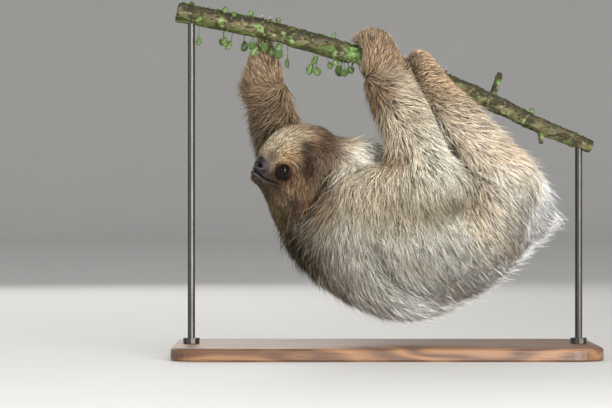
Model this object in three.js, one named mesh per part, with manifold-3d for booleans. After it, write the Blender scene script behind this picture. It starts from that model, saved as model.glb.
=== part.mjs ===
// A young brown-throated three-toed sloth, life size, as a still display model: it hangs below a cut length of
// branch by all four limbs, back down and head to -X, and the branch stands on two rods over a flat base.
//
// Millimetres, +Z up. X runs along the branch, +Y is the sloth's left side. The origin is at the middle of the
// base's underside. The flesh solids reach out to the tips of the coat.
//
// The body is one smooth field: each part of it is a chain of round cones, and the parts blend into the trunk.
// Each node is that field's surface along its own straight axis, cut from its neighbours by narrow gaps.
import * as THREE from "three";
import { mergeVertices } from "three/addons/utils/BufferGeometryUtils.js";
import Module from "manifold-3d";

const wasm = await Module();
wasm.setup();

// ---------------------------------------------------------------- driving dimensions
const GAP = 0.4; // clear width at planar cuts and where rigid pieces meet
const CREASE = 2.6; // clear width where furred parts lie against each other
const BLEND = 16; // width of the fillet between a limb and the trunk

const BASE = { length: 464, width: 236, height: 14, corner: 34, edge: 2 };
const ROD = { radius: 4, x: 213, collarRadius: 9, collarHeight: 6, drilled: 5, sunk: 9 };

// The branch: its centreline dips to +X, and it thins that way.
const BRANCH = [
  { x: -229, z: 378.6, r: 11.5 },
  { x: -135, z: 360, r: 11 },
  { x: -42, z: 334, r: 12 },
  { x: 65, z: 301.5, r: 11 },
  { x: 104, z: 285.5, r: 10.5 },
  { x: 181, z: 249, r: 9 },
  { x: 228, z: 230, r: 8 },
].map((s) => ({ at: new THREE.Vector3(s.x, 0, s.z), r: s.r }));
const KNOB = { x: -42, radius: 13.5, length: 13 };
const TWIG = { x: 116, length: 34, rootRadius: 4.8, tipRadius: 3.6, lean: 0.35 };

// Joint places and half thicknesses of each limb, from the trunk out to the tips of the digits.
const joint = (x, y, z, r) => ({ at: new THREE.Vector3(x, y, z), r });
const LIMBS = {
  arm_right: [
    joint(-22, -44, 172, 35),
    joint(53, -60, 190, 35),
    joint(-2, -39, 304, 26.5),
    joint(-3, -33, 331, 19.5),
    joint(-11, -15, 345, 15),
    joint(-26, 2, 350, 8.5),
    joint(-36, 11, 345, 6.5),
  ],
  arm_left: [
    joint(-36, 46, 166, 32),
    joint(-104, 62, 198, 31),
    joint(-133, 37, 302, 25),
    joint(-135, 30, 325, 17),
    joint(-133, 25, 341, 10),
    joint(-130, 20, 350, 7),
    joint(-129, 17, 358, 6),
  ],
  leg_right: [
    joint(108, -34, 138, 40),
    joint(127, -50, 190, 37),
    joint(65, -42, 276, 23),
    joint(47, -36, 304, 17),
    joint(39, -24, 321, 14),
    joint(32, -4, 329, 8.5),
    joint(24, 9, 326, 6.5),
  ],
  leg_left: [
    joint(108, 38, 138, 38),
    joint(121, 56, 190, 35),
    joint(68, 42, 277, 20),
    joint(59, 34, 295, 14.5),
    joint(56, 27, 306, 10.5),
    joint(56, 19, 312, 8),
    joint(56, 12, 317, 6),
  ],
};
const LIMB_NODES = {
  arm: ["upper_arm", "forearm", "hand"],
  leg: ["thigh", "shank", "foot"],
};

// Trunk from the breast to the rump, and the neck. share is the breadth as a share of the depth.
const TRUNK = { share: 0.93, y: 3 };
const SPINE = [
  joint(-15, TRUNK.y, 135, 78),
  joint(24, TRUNK.y, 127, 84),
  joint(73, TRUNK.y, 144, 76),
  joint(123, TRUNK.y, 165, 57),
];
const NECK = [joint(-91, -2, 157, 37), joint(-56, -2, 183, 57), joint(-24, -2, 172, 60)];
const NECK_WIDTH = { share: 0.72, y: -2 };
const NECK_CUT = { x: -46, z: 175, tilt: -28 };
const RUMP_CUT = { x: 96, z: 150, tilt: 24 };
const TAIL = [joint(146, 8, 170, 20), joint(168, 10, 158, 12), joint(177, 10, 153, 8)];
const TAIL_CUT = { share: 0.42, fillet: 5 };

// The head in its own frame: f forward to the nose, s out to the sloth's right, u up.
const HEAD = { at: new THREE.Vector3(-87, -4, 208), yaw: 18, pitch: 32 };
const SKULL = { f: 0, u: 1, long: 46, wide: 41, high: 45 };
const FACE = { f: 21, u: -3, long: 31, wide: 33, high: 33 };
const CHEEK = { f: 4, s: 12, u: -20, r: 29 };
const MUZZLE = { from: [26, -19], to: [41.5, -23.5], rootRadius: 25, tipRadius: 13.5 };
const JAW = { from: [16, -33], to: [36, -37], rootRadius: 19, tipRadius: 10 };
const THROAT = { f: -2, u: -41, r: 24 };
const NOSE = { f: 45, u: -26.5, long: 20, wide: 16, high: 10 };
const MOUTH = { front: -35.5, tip: 43, corner: -37.5, back: 21, radius: 1.3 };
const EYE = { f: 10.5, u: -22, radius: 6.4, turn: 30, sunk: 4.6 };
const EAR = { f: 1, u: 7, radius: 8.5, flat: 0.4, turn: -6, proud: 2 };

const CLAW = { radius: 3.1, tip: 0.8, spacing: 8, sides: 6, steps: 5, clear: 0.5 };

// Where each foot's claws grip: x along the branch, which side they start on and how far round they hook.
// Angles are in degrees round the branch: 90 is its top, 0 its left side (+Y), 180 its right side.
const GRIPS = {
  hand_right: { x: -25, from: 70, to: -62 },
  hand_left: { x: -129, from: 4, to: 122 },
  foot_right: { x: 28, from: 68, to: -50 },
  foot_left: { x: 56, from: 14, to: 128 },
};

// ---------------------------------------------------------------- fields: negative inside
const radians = THREE.MathUtils.degToRad;

const cone = (p, a, b) => {
  const axis = b.at.clone().sub(a.at);
  const t = THREE.MathUtils.clamp(p.clone().sub(a.at).dot(axis) / axis.lengthSq(), 0, 1);
  return p.distanceTo(a.at.clone().addScaledVector(axis, t)) - THREE.MathUtils.lerp(a.r, b.r, t);
};

const blend = (a, b, k) => {
  const h = Math.max(k - Math.abs(a - b), 0) / k;
  return Math.min(a, b) - (h * h * k) / 4;
};

const chain = (stations, k) => (p) => {
  let d = cone(p, stations[0], stations[1]);
  for (let i = 1; i + 1 < stations.length; i++) d = blend(d, cone(p, stations[i], stations[i + 1]), k);
  return d;
};

const yawed = new THREE.Euler(0, 0, radians(HEAD.yaw));
const FORWARD = new THREE.Vector3(-Math.cos(radians(HEAD.pitch)), 0, Math.sin(radians(HEAD.pitch))).applyEuler(yawed);
const SIDE = new THREE.Vector3(0, -1, 0).applyEuler(yawed);
const UP = FORWARD.clone().cross(SIDE);
const onHead = (f, s, u) =>
  HEAD.at.clone().addScaledVector(FORWARD, f).addScaledVector(SIDE, s).addScaledVector(UP, u);
const headFrame = (p) => {
  const q = p.clone().sub(HEAD.at);
  return { f: q.dot(FORWARD), s: q.dot(SIDE), u: q.dot(UP) };
};

const ovoid = (q, e) => {
  const k = Math.hypot((q.f - e.f) / e.long, q.s / e.wide, (q.u - e.u) / e.high);
  return (k - 1) * Math.min(e.long, e.wide, e.high);
};

const headBar = (bar) => [
  { at: onHead(bar.from[0], 0, bar.from[1]), r: bar.rootRadius },
  { at: onHead(bar.to[0], 0, bar.to[1]), r: bar.tipRadius },
];
const muzzleBar = headBar(MUZZLE);
const jawBar = headBar(JAW);
const throat = onHead(THROAT.f, 0, THROAT.u);
const cheeks = [-1, 1].map((side) => onHead(CHEEK.f, side * CHEEK.s, CHEEK.u));

const head = (p) => {
  const q = headFrame(p);
  let d = blend(ovoid(q, SKULL), ovoid(q, FACE), 14);
  for (const c of cheeks) d = blend(d, p.distanceTo(c) - CHEEK.r, 12);
  d = blend(d, cone(p, ...muzzleBar), 9);
  d = blend(d, cone(p, ...jawBar), 7);
  return blend(d, p.distanceTo(throat) - THROAT.r, 16);
};

// The distance from a point inside the field to its surface along a direction.
const reach = (field, from, direction) => {
  const STRIDE = 3;
  let inside = 0;
  let outside = STRIDE;
  const at = (t) => field(from.clone().addScaledVector(direction, t));
  while (at(outside) < 0) {
    inside = outside;
    outside += STRIDE;
  }
  for (let i = 0; i < 12; i++) {
    const middle = (inside + outside) / 2;
    if (at(middle) < 0) inside = middle;
    else outside = middle;
  }
  return inside;
};

// A place on the head's surface, straight out from the head's middle plane and turned towards the nose.
const onHeadSide = (spot, side) => {
  const turn = radians(spot.turn);
  const out = SIDE.clone().multiplyScalar(side * Math.cos(turn)).addScaledVector(FORWARD, Math.sin(turn));
  const from = onHead(spot.f, 0, spot.u);
  return { at: from.addScaledVector(out, reach(head, from, out)), out };
};
const SIDES = { right: 1, left: -1 };
const eyeAt = (side) => {
  const { at, out } = onHeadSide(EYE, side);
  return at.addScaledVector(out, -EYE.sunk);
};

const spine = chain(SPINE, 20);
const tail = chain(TAIL, 6);
const neck = chain(NECK, 16);
const narrowed = (p, breadth) => p.clone().setY(breadth.y + (p.y - breadth.y) / breadth.share);
const torso = (p) =>
  blend(blend(spine(narrowed(p, TRUNK)), neck(narrowed(p, NECK_WIDTH)), 26), tail(p), 12);

const limbFields = Object.fromEntries(
  Object.entries(LIMBS).map(([name, stations]) => [name, chain(stations, 7)]),
);
const groups = { torso, ...limbFields };

// The coat's surface round one group: blended into the torso, and kept apart from the groups named.
const territory = (own, others) => (p) => {
  const mine = groups[own](p);
  const trunk = torso(p);
  let surface = blend(mine, trunk, BLEND);
  if (own === "torso")
    surface = Math.min(mine, ...others.map((name) => blend(groups[name](p), trunk, BLEND)));
  const split = Math.max(...others.map((name) => (mine - groups[name](p)) / 2));
  return Math.max(surface, split + CREASE / 2);
};
const limbNames = Object.keys(LIMBS);

// ---------------------------------------------------------------- solids
const solidOf = (geometry) => {
  const bare = geometry.clone();
  bare.deleteAttribute("normal");
  bare.deleteAttribute("uv");
  const merged = mergeVertices(bare, 1e-3);
  return new wasm.Manifold(
    new wasm.Mesh({
      numProp: 3,
      vertProperties: merged.attributes.position.array,
      triVerts: new Uint32Array(merged.index.array),
    }),
  );
};

const geometryOf = (solid) => {
  const mesh = solid.getMesh();
  const positions = new Float32Array(mesh.numVert * 3);
  for (let i = 0; i < mesh.numVert; i++)
    positions.set(mesh.vertProperties.subarray(i * mesh.numProp, i * mesh.numProp + 3), i * 3);
  return new THREE.BufferGeometry()
    .setAttribute("position", new THREE.BufferAttribute(positions, 3))
    .setIndex(new THREE.BufferAttribute(new Uint32Array(mesh.triVerts), 1));
};

// The field's surface as rings round the straight axis through a and b, closed by a point at each end.
const loft = (field, a, b, rings, sides) => {
  const axis = b.clone().sub(a).normalize();
  const middle = a.clone().lerp(b, 0.5);
  const start = middle.clone().addScaledVector(axis, -reach(field, middle, axis.clone().negate()));
  const end = middle.clone().addScaledVector(axis, reach(field, middle, axis));
  const across = new THREE.Vector3(0, 1, 0).cross(axis).normalize();
  const positions = [...start.toArray()];
  for (let k = 1; k <= rings; k++) {
    const evenly = k / (rings + 1);
    const share = THREE.MathUtils.lerp(evenly, (1 - Math.cos(Math.PI * evenly)) / 2, 0.75);
    const centre = start.clone().lerp(end, share);
    for (let j = 0; j < sides; j++) {
      const out = across.clone().applyAxisAngle(axis, (2 * Math.PI * j) / sides);
      positions.push(...centre.clone().addScaledVector(out, reach(field, centre, out)).toArray());
    }
  }
  positions.push(...end.toArray());
  const last = positions.length / 3 - 1;
  const at = (ring, j) => 1 + ring * sides + (j % sides);
  const index = [];
  for (let j = 0; j < sides; j++) {
    index.push(0, at(0, j + 1), at(0, j));
    index.push(last, at(rings - 1, j), at(rings - 1, j + 1));
    for (let ring = 0; ring + 1 < rings; ring++) {
      const [p, q] = [at(ring, j), at(ring, j + 1)];
      const [r, s] = [at(ring + 1, j), at(ring + 1, j + 1)];
      index.push(p, q, s, p, s, r);
    }
  }
  const geometry = new THREE.BufferGeometry()
    .setAttribute("position", new THREE.BufferAttribute(new Float32Array(positions), 3))
    .setIndex(index);
  return solidOf(geometry);
};

// A big box whose one face lies on the plane through a point, on the side that normal points to.
const REACH = 700;
const halfSpace = (point, normal, offset = GAP / 2) => {
  const box = new THREE.BoxGeometry(REACH, REACH, REACH);
  const turn = new THREE.Quaternion().setFromUnitVectors(new THREE.Vector3(0, 0, 1), normal.clone().normalize());
  box.applyQuaternion(turn);
  const centre = point.clone().addScaledVector(normal.clone().normalize(), REACH / 2 + offset);
  return solidOf(box.translate(...centre.toArray()));
};

const ball = (centre, radius, detail = 2) =>
  solidOf(new THREE.IcosahedronGeometry(radius, detail).translate(...centre.toArray()));

// A tube of changing radius along a curve, closed at both ends.
const taperedTube = (curve, radiusAt, steps, sides) => {
  const section = new THREE.Shape().absarc(0, 0, 1, 0, 2 * Math.PI);
  const geometry = new THREE.ExtrudeGeometry(section, {
    steps,
    extrudePath: curve,
    curveSegments: sides / 2,
    bevelEnabled: false,
  });
  const position = geometry.attributes.position;
  const centres = curve.getSpacedPoints(steps);
  const p = new THREE.Vector3();
  for (let i = 0; i < position.count; i++) {
    p.fromBufferAttribute(position, i);
    let nearest = 0;
    centres.forEach((c, k) => {
      if (p.distanceTo(c) < p.distanceTo(centres[nearest])) nearest = k;
    });
    p.sub(centres[nearest]).multiplyScalar(radiusAt(nearest / steps)).add(centres[nearest]);
    position.setXYZ(i, ...p.toArray());
  }
  return solidOf(geometry);
};

// ---------------------------------------------------------------- branch and stand
const branchCurve = new THREE.CatmullRomCurve3(BRANCH.map((s) => s.at));
const branchRadius = (x) => {
  const k = BRANCH.findIndex((s) => s.at.x >= x);
  const [a, b] = [BRANCH[Math.max(k - 1, 0)], BRANCH[k < 0 ? BRANCH.length - 1 : Math.max(k, 1)]];
  return THREE.MathUtils.mapLinear(x, a.at.x, b.at.x, a.r, b.r);
};
const branchAt = (x) => {
  let best = 0;
  const SAMPLES = 400;
  for (let i = 0; i <= SAMPLES; i++)
    if (Math.abs(branchCurve.getPoint(i / SAMPLES).x - x) < Math.abs(branchCurve.getPoint(best).x - x))
      best = i / SAMPLES;
  return { at: branchCurve.getPoint(best), along: branchCurve.getTangent(best), r: branchRadius(x) };
};

const branchSolid = (grow = 0) => {
  const STEPS = 13;
  const radiusAt = (t) => branchRadius(branchCurve.getPointAt(Math.min(t, 1)).x) + grow;
  let solid = taperedTube(branchCurve, radiusAt, STEPS, 10);
  const knob = branchAt(KNOB.x);
  const swelling = new THREE.SphereGeometry(1, 10, 6)
    .scale(KNOB.length + grow, KNOB.radius + grow, KNOB.radius + grow)
    .applyQuaternion(new THREE.Quaternion().setFromUnitVectors(new THREE.Vector3(1, 0, 0), knob.along))
    .translate(...knob.at.toArray());
  solid = solid.add(solidOf(swelling));
  const twig = branchAt(TWIG.x);
  const twigEnd = twig.at.clone().add(new THREE.Vector3(TWIG.lean, 0, 1).normalize().multiplyScalar(TWIG.length));
  const twigLine = new THREE.LineCurve3(twig.at, twigEnd);
  const twigRadius = (t) => THREE.MathUtils.lerp(TWIG.rootRadius, TWIG.tipRadius, t) + grow;
  return solid.add(taperedTube(twigLine, twigRadius, 1, 8));
};

const roundRod = (x, radius, from, to, sides = 12) =>
  solidOf(
    new THREE.CylinderGeometry(radius, radius, to - from, sides)
      .rotateX(Math.PI / 2)
      .translate(x, 0, (from + to) / 2),
  );

const baseSolid = () => {
  const half = { x: BASE.length / 2 - BASE.edge, y: BASE.width / 2 - BASE.edge };
  const corner = BASE.corner - BASE.edge;
  const outline = new THREE.Shape();
  outline.moveTo(half.x, -half.y + corner);
  outline.absarc(half.x - corner, half.y - corner, corner, 0, Math.PI / 2);
  outline.absarc(-half.x + corner, half.y - corner, corner, Math.PI / 2, Math.PI);
  outline.absarc(-half.x + corner, -half.y + corner, corner, Math.PI, 1.5 * Math.PI);
  outline.absarc(half.x - corner, -half.y + corner, corner, 1.5 * Math.PI, 2 * Math.PI);
  const slab = new THREE.ExtrudeGeometry(outline, {
    depth: BASE.height - 2 * BASE.edge,
    bevelSize: BASE.edge,
    bevelThickness: BASE.edge,
    bevelSegments: 1,
    curveSegments: 4,
  });
  return solidOf(slab.translate(0, 0, BASE.edge));
};

// ---------------------------------------------------------------- body
const ear = (side, grow) => {
  const { at, out } = onHeadSide(EAR, side);
  const centre = at.addScaledVector(out, EAR.proud - EAR.radius * EAR.flat);
  const mound = new THREE.SphereGeometry(1, 8, 6)
    .scale(EAR.radius + grow, EAR.radius * 1.15 + grow, EAR.radius * EAR.flat + grow)
    .applyQuaternion(new THREE.Quaternion().setFromUnitVectors(new THREE.Vector3(0, 0, 1), out));
  return solidOf(mound.translate(...centre.toArray()));
};

const nodes = {};
const grownBranch = branchSolid(GAP);

const torsoAxis = [SPINE[0].at, SPINE[3].at];
const neckAxis = [NECK[0].at, NECK[2].at];
const headAxis = [onHead(-8, 0, -8), onHead(44, 0, -18)];

// The torso and the head a little larger than they are: the room they take out of their neighbours.
const withRoom = (p) => {
  const mine = torso(p);
  const nearest = Math.min(...limbNames.map((name) => groups[name](p)));
  return Math.max(mine - 9, (mine - nearest) / 2 - CREASE / 2);
};
const torsoRoom = loft(withRoom, ...torsoAxis, 11, 15).add(loft(withRoom, ...neckAxis, 8, 15));
let headRoom = loft((p) => head(p) - CREASE, ...headAxis, 13, 16);
for (const side of Object.values(SIDES)) headRoom = headRoom.add(ear(side, CREASE));

const cutAcross = (cut) => {
  const normal = new THREE.Vector3(Math.cos(radians(cut.tilt)), 0, Math.sin(radians(cut.tilt)));
  return { point: new THREE.Vector3(cut.x, 0, cut.z), normal };
};
const addTorso = () => {
  const surface = territory("torso", limbNames);
  const front = cutAcross(NECK_CUT);
  const rear = cutAcross(RUMP_CUT);
  const behindNeck = halfSpace(front.point, front.normal);
  const beforeRump = halfSpace(rear.point, rear.normal.clone().negate());
  const whole = loft(surface, ...torsoAxis, 11, 15);
  nodes.trunk = whole.intersect(behindNeck).intersect(beforeRump).subtract(headRoom);
  const neckWhole = loft(surface, ...neckAxis, 8, 15).subtract(headRoom);
  nodes.neck = neckWhole.intersect(halfSpace(front.point, front.normal.clone().negate()));
  const tailAxis = TAIL[2].at.clone().sub(TAIL[0].at);
  const tailRoot = TAIL[0].at.clone().lerp(TAIL[2].at, TAIL_CUT.share);
  const tailShape = (grow) => (p) => Math.max(surface(p), tail(p) - TAIL_CUT.fillet) - grow;
  const tailWhole = loft(tailShape(0), TAIL[1].at, TAIL[2].at, 6, 12);
  const tailRoom = loft(tailShape(CREASE), TAIL[1].at, TAIL[2].at, 6, 12);
  const rump = whole.intersect(halfSpace(rear.point, rear.normal));
  nodes.rump = rump.subtract(tailRoom.intersect(halfSpace(tailRoot, tailAxis, -GAP / 2)));
  nodes.tail = tailWhole.intersect(halfSpace(tailRoot, tailAxis));
};

// The bisector of a bend, facing the outer segment.
const bend = (before, at, after) =>
  at.clone().sub(before).normalize().add(after.clone().sub(at).normalize());

const addLimb = (name) => {
  const [kind, side] = name.split("_");
  const stations = LIMBS[name];
  const [root, elbow, wrist, palm] = stations.map((s) => s.at);
  const field = territory(name, limbNames.filter((other) => other !== name));
  const elbowNormal = bend(root, elbow, wrist);
  const wristNormal = palm.clone().sub(wrist);
  const afterElbow = halfSpace(elbow, elbowNormal);
  const beforeElbow = halfSpace(elbow, elbowNormal.clone().negate());
  const afterWrist = halfSpace(wrist, wristNormal);
  const beforeWrist = halfSpace(wrist, wristNormal.clone().negate());
  const [upperName, lowerName, endName] = LIMB_NODES[kind].map((n) => `${n}_${side}`);

  const single = (a, b) => (p) => Math.max(field(p), cone(p, a, b) - BLEND);
  const upper = loft(single(stations[0], stations[1]), root, elbow, 7, 12);
  nodes[upperName] = upper.intersect(beforeElbow).subtract(torsoRoom).subtract(headRoom);
  const lower = loft(single(stations[1], stations[2]), elbow, wrist, 9, 12);
  const lowerWhole = lower.intersect(afterElbow).intersect(beforeWrist);
  nodes[lowerName] = lowerWhole.subtract(torsoRoom).subtract(headRoom);

  const [PALM, KNUCKLE, TIP] = [2, 4, 6];
  const SLACK = 2;
  const stretch = (from, to, rings) => {
    const along = chain(stations.slice(from, to + 1), 7);
    return loft((p) => Math.max(field(p), along(p) - SLACK), stations[from].at, stations[to].at, rings, 9);
  };
  const whole = stretch(PALM, KNUCKLE, 5).add(stretch(KNUCKLE, TIP, 4));
  nodes[endName] = whole.intersect(afterWrist).subtract(grownBranch);
};

const addHead = () => {
  let solid = loft(head, ...headAxis, 15, 18);
  const muffle = (grow) => {
    const shape = new THREE.IcosahedronGeometry(1, 2);
    shape.applyMatrix4(
      new THREE.Matrix4()
        .makeBasis(FORWARD, SIDE, UP)
        .scale(new THREE.Vector3(NOSE.long + grow, NOSE.wide + grow, NOSE.high + grow)),
    );
    return solidOf(shape.translate(...onHead(NOSE.f, 0, NOSE.u).toArray()));
  };
  nodes.nose = solid.intersect(muffle(0));
  solid = solid.subtract(muffle(GAP));

  const lipAt = (f, u, side) => {
    const out = SIDE.clone().multiplyScalar(side);
    const from = onHead(f, 0, u);
    return from.addScaledVector(out, Math.max(reach(head, from, out) - MOUTH.radius * 0.4, 0));
  };
  const steps = [0, 0.35, 0.7, 1].map((t) => ({
    f: THREE.MathUtils.lerp(MOUTH.back, MOUTH.tip, t),
    u: THREE.MathUtils.lerp(MOUTH.corner, MOUTH.front, t),
  }));
  const front = onHead(MOUTH.tip, 0, MOUTH.front);
  front.addScaledVector(FORWARD, reach(head, front, FORWARD));
  const lips = new THREE.CatmullRomCurve3([
    ...steps.map((s) => lipAt(s.f, s.u, 1)),
    front,
    ...steps.reverse().map((s) => lipAt(s.f, s.u, -1)),
  ]);
  solid = solid.subtract(taperedTube(lips, () => MOUTH.radius, 12, 4));

  for (const [name, side] of Object.entries(SIDES)) {
    nodes[`eye_${name}`] = ball(eyeAt(side), EYE.radius);
    solid = solid.subtract(ball(eyeAt(side), EYE.radius + GAP));
    nodes[`ear_${name}`] = ear(side, 0);
    solid = solid.subtract(ear(side, GAP));
  }
  nodes.head = solid;
};

// Three claws of one foot, side by side along the branch, each bent round it.
const addClaws = (foot, grip) => {
  for (const [k, digit] of ["inner", "middle", "outer"].entries()) {
    const place = branchAt(grip.x + (k - 1) * CLAW.spacing);
    const ring = place.r + CLAW.radius + CLAW.clear;
    const behind = new THREE.Vector3(0, 1, 0);
    const over = behind.clone().cross(place.along).negate().normalize();
    const points = [0, 0.25, 0.5, 0.75, 1].map((t) => {
      const angle = radians(THREE.MathUtils.lerp(grip.from, grip.to, t));
      const out = behind.clone().multiplyScalar(Math.cos(angle)).addScaledVector(over, Math.sin(angle));
      return place.at.clone().addScaledVector(out, ring);
    });
    const claw = (grow) => {
      const radiusAt = (t) => THREE.MathUtils.lerp(CLAW.radius, CLAW.tip, t ** 1.5) + grow;
      return taperedTube(new THREE.CatmullRomCurve3(points), radiusAt, CLAW.steps, CLAW.sides);
    };
    for (const other of Object.keys(GRIPS)) nodes[other] = nodes[other].subtract(claw(GAP));
    nodes[`claw_${foot}_${digit}`] = claw(0);
  }
};

addHead();
addTorso();
limbNames.forEach(addLimb);

for (const [foot, grip] of Object.entries(GRIPS)) addClaws(foot, grip);

const addStand = () => {
  nodes.branch = branchSolid();
  nodes.stand_base = baseSolid();
  for (const [side, x] of Object.entries({ left: -ROD.x, right: ROD.x })) {
    const place = branchAt(x);
    const top = place.at.z + place.r - ROD.drilled;
    const seat = place.at.z - place.r - 4;
    nodes.branch = nodes.branch.subtract(roundRod(x, ROD.radius + GAP, seat - 40, top + GAP));
    const foot = BASE.height - ROD.sunk;
    nodes.stand_base = nodes.stand_base.subtract(roundRod(x, ROD.radius + GAP, foot - GAP, BASE.height + 20));
    nodes[`stand_rod_${side}`] = roundRod(x, ROD.radius, foot, top).add(
      roundRod(x, ROD.collarRadius, BASE.height + GAP, BASE.height + GAP + ROD.collarHeight),
    );
  }
};
addStand();

// ---------------------------------------------------------------- colours
const FINISHES = {
  coat: { color: 0xa39883, roughness: 0.95 },
  limb: { color: 0x9c8462, roughness: 0.95 },
  face: { color: 0xc2ae8c, roughness: 0.9 },
  bare: { color: 0x3a3033, roughness: 0.55 },
  eye: { color: 0x1c120d, roughness: 0.1 },
  claw: { color: 0xb3a684, roughness: 0.5 },
  bark: { color: 0x746a57, roughness: 0.95 },
  wood: { color: 0x5a3d28, roughness: 0.5 },
  steel: { color: 0x2a2a2c, roughness: 0.45, metalness: 0.6 },
};
const FINISH_OF = [
  [/^(trunk|neck|rump|tail|thigh)/, "coat"],
  [/^(upper_arm|forearm|hand|shank|foot)/, "limb"],
  [/^(head|ear)/, "face"],
  [/^nose/, "bare"],
  [/^eye/, "eye"],
  [/^claw/, "claw"],
  [/^branch/, "bark"],
  [/^stand_base/, "wood"],
  [/^stand_rod/, "steel"],
];

const part = new THREE.Group();
for (const [name, solid] of Object.entries(nodes)) {
  const finish = FINISH_OF.find(([pattern]) => pattern.test(name))[1];
  const mesh = new THREE.Mesh(geometryOf(solid), new THREE.MeshStandardMaterial(FINISHES[finish]));
  mesh.name = name;
  part.add(mesh);
}
export default part;
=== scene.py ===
"""Dresses the model of a young three-toed sloth, a still display piece.

One skin takes the place of all the flesh solids and lies inside them by the depth of the coat, and the coat is
combed over it in tufts. The eyes, claws, branch and stand are pieces of their own. All pieces are still, so each
rides on the one body.
"""
import math

import bmesh
import bpy
import numpy as np
import openvdb
from bpy.props import FloatProperty, FloatVectorProperty, IntProperty, PointerProperty
from mathutils import Matrix, Vector
from mathutils import noise as mathutils_noise
from mathutils.bvhtree import BVHTree
from mathutils.kdtree import KDTree


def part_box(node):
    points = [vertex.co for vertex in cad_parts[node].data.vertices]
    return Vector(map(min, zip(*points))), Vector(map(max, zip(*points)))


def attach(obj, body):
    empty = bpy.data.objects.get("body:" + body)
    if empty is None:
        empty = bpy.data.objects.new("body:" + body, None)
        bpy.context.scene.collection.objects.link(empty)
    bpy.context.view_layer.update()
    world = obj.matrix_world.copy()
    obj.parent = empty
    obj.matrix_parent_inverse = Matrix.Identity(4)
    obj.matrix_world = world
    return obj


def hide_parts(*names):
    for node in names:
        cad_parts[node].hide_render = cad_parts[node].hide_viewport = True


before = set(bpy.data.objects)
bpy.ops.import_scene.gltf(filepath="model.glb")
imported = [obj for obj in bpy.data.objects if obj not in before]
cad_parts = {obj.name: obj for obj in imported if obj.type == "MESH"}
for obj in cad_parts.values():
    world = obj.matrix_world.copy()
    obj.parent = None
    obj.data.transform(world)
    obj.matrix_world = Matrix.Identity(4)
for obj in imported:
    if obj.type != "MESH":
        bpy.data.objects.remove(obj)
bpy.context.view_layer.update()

bl_info = {
    "name": "Three-toed sloth on a branch",
    "version": (1, 0, 0),
    "blender": (4, 5, 0),
    "location": "View3D > Sidebar > Sloth",
    "description": "Skin, coat, face, branch and stand of a still three-toed sloth",
    "category": "Object",
}

MM = 0.001
BODY = "root"
SIDES = {"right": 1, "left": -1}
SEED = 20260

# ---------------------------------------------------------------- the head's own frame
# f runs forward to the nose, s out to the animal's right, u up: the same frame as the head's solids use.
HEAD_AT = np.array((-87.0, -4.0, 208.0)) * MM
HEAD_YAW = math.radians(18)
HEAD_PITCH = math.radians(32)
TURN = Matrix.Rotation(HEAD_YAW, 3, "Z")
FORWARD = np.array(TURN @ Vector((-math.cos(HEAD_PITCH), 0, math.sin(HEAD_PITCH))))
SIDEWAYS = np.array(TURN @ Vector((0, -1, 0)))
UPWARD = np.cross(FORWARD, SIDEWAYS)
HEAD_AXES = np.array((FORWARD, SIDEWAYS, UPWARD))


def head_place(f, s, u):
    """A point of the head's frame, given in millimetres, in the row frame."""
    return HEAD_AT + np.array((f, s, u)) @ HEAD_AXES * MM


def in_head(points):
    """Points of the row frame as f, s, u in millimetres."""
    return (points - HEAD_AT) @ HEAD_AXES.T / MM


def smooth_step(low, high, value):
    """0 below low, 1 above high, and an even rise between them."""
    t = np.clip((value - low) / (high - low), 0, 1)
    return t * t * (3 - 2 * t)


def mound(value, width):
    """1 at 0, falling off evenly either way."""
    return np.exp(-((value / width) ** 2))


# ---------------------------------------------------------------- what a user would change
class CoatSettings(bpy.types.PropertyGroup):
    depth: FloatProperty(name="Depth", description="Depth of the coat on the trunk", default=0.0085, unit="LENGTH")
    length: FloatProperty(name="Length", description="Length of a trunk tuft", default=0.036, unit="LENGTH")
    width: FloatProperty(name="Width", description="Breadth of a trunk tuft", default=0.00112, unit="LENGTH")
    tufts: IntProperty(name="Tufts", description="Tufts in the whole coat", default=136000, min=1000)
    contrast: FloatProperty(name="Contrast", description="How far tufts differ in tone", default=0.52, min=0, max=1)


class FaceSettings(bpy.types.PropertyGroup):
    eyeball: FloatProperty(name="Eyeball", description="Radius of an eyeball", default=0.0070, unit="LENGTH")
    opening: FloatProperty(
        name="Eye opening", description="Half width between the lids", default=0.0062, unit="LENGTH"
    )
    lid: FloatProperty(name="Lid", description="How far the lids stand out", default=0.0007, unit="LENGTH")
    groove: FloatProperty(name="Mouth", description="Depth of the mouth's line", default=0.0022, unit="LENGTH")
    nostril: FloatProperty(name="Nostril", description="Depth of a nostril", default=0.0042, unit="LENGTH")
    iris: FloatVectorProperty(
        name="Iris", description="Colour of the iris", default=(0.045, 0.016, 0.006), subtype="COLOR"
    )


class BranchSettings(bpy.types.PropertyGroup):
    ridges: FloatProperty(name="Ridges", description="Height of the bark's ridges", default=0.0009, unit="LENGTH")
    leaves: IntProperty(name="Leaves", description="Hanging leaves on the branch", default=34, min=0)


class StageSettings(bpy.types.PropertyGroup):
    distance: FloatProperty(name="Distance", description="Camera to the animal", default=3.2, unit="LENGTH")
    lens: FloatProperty(name="Lens", description="Focal length in millimetres", default=171.1)
    floor: FloatVectorProperty(
        name="Floor", description="Colour of the floor", default=(0.60, 0.595, 0.585), subtype="COLOR"
    )


# ---------------------------------------------------------------- skin
FLESH = (
    "head", "nose", "ear_", "eye_", "neck", "trunk", "rump", "tail",
    "upper_arm", "forearm", "hand", "thigh", "shank", "foot",
)  # fmt: skip
GROUPS = ("head", "neck", "trunk", "rump", "arm_right", "arm_left", "leg_right", "leg_left", "paw")
CLOSE = 7.0 * MM  # creases between the solids narrower than twice this are filled
CELL = 2.6 * MM  # edge of the skin's faces away from the face

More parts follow.
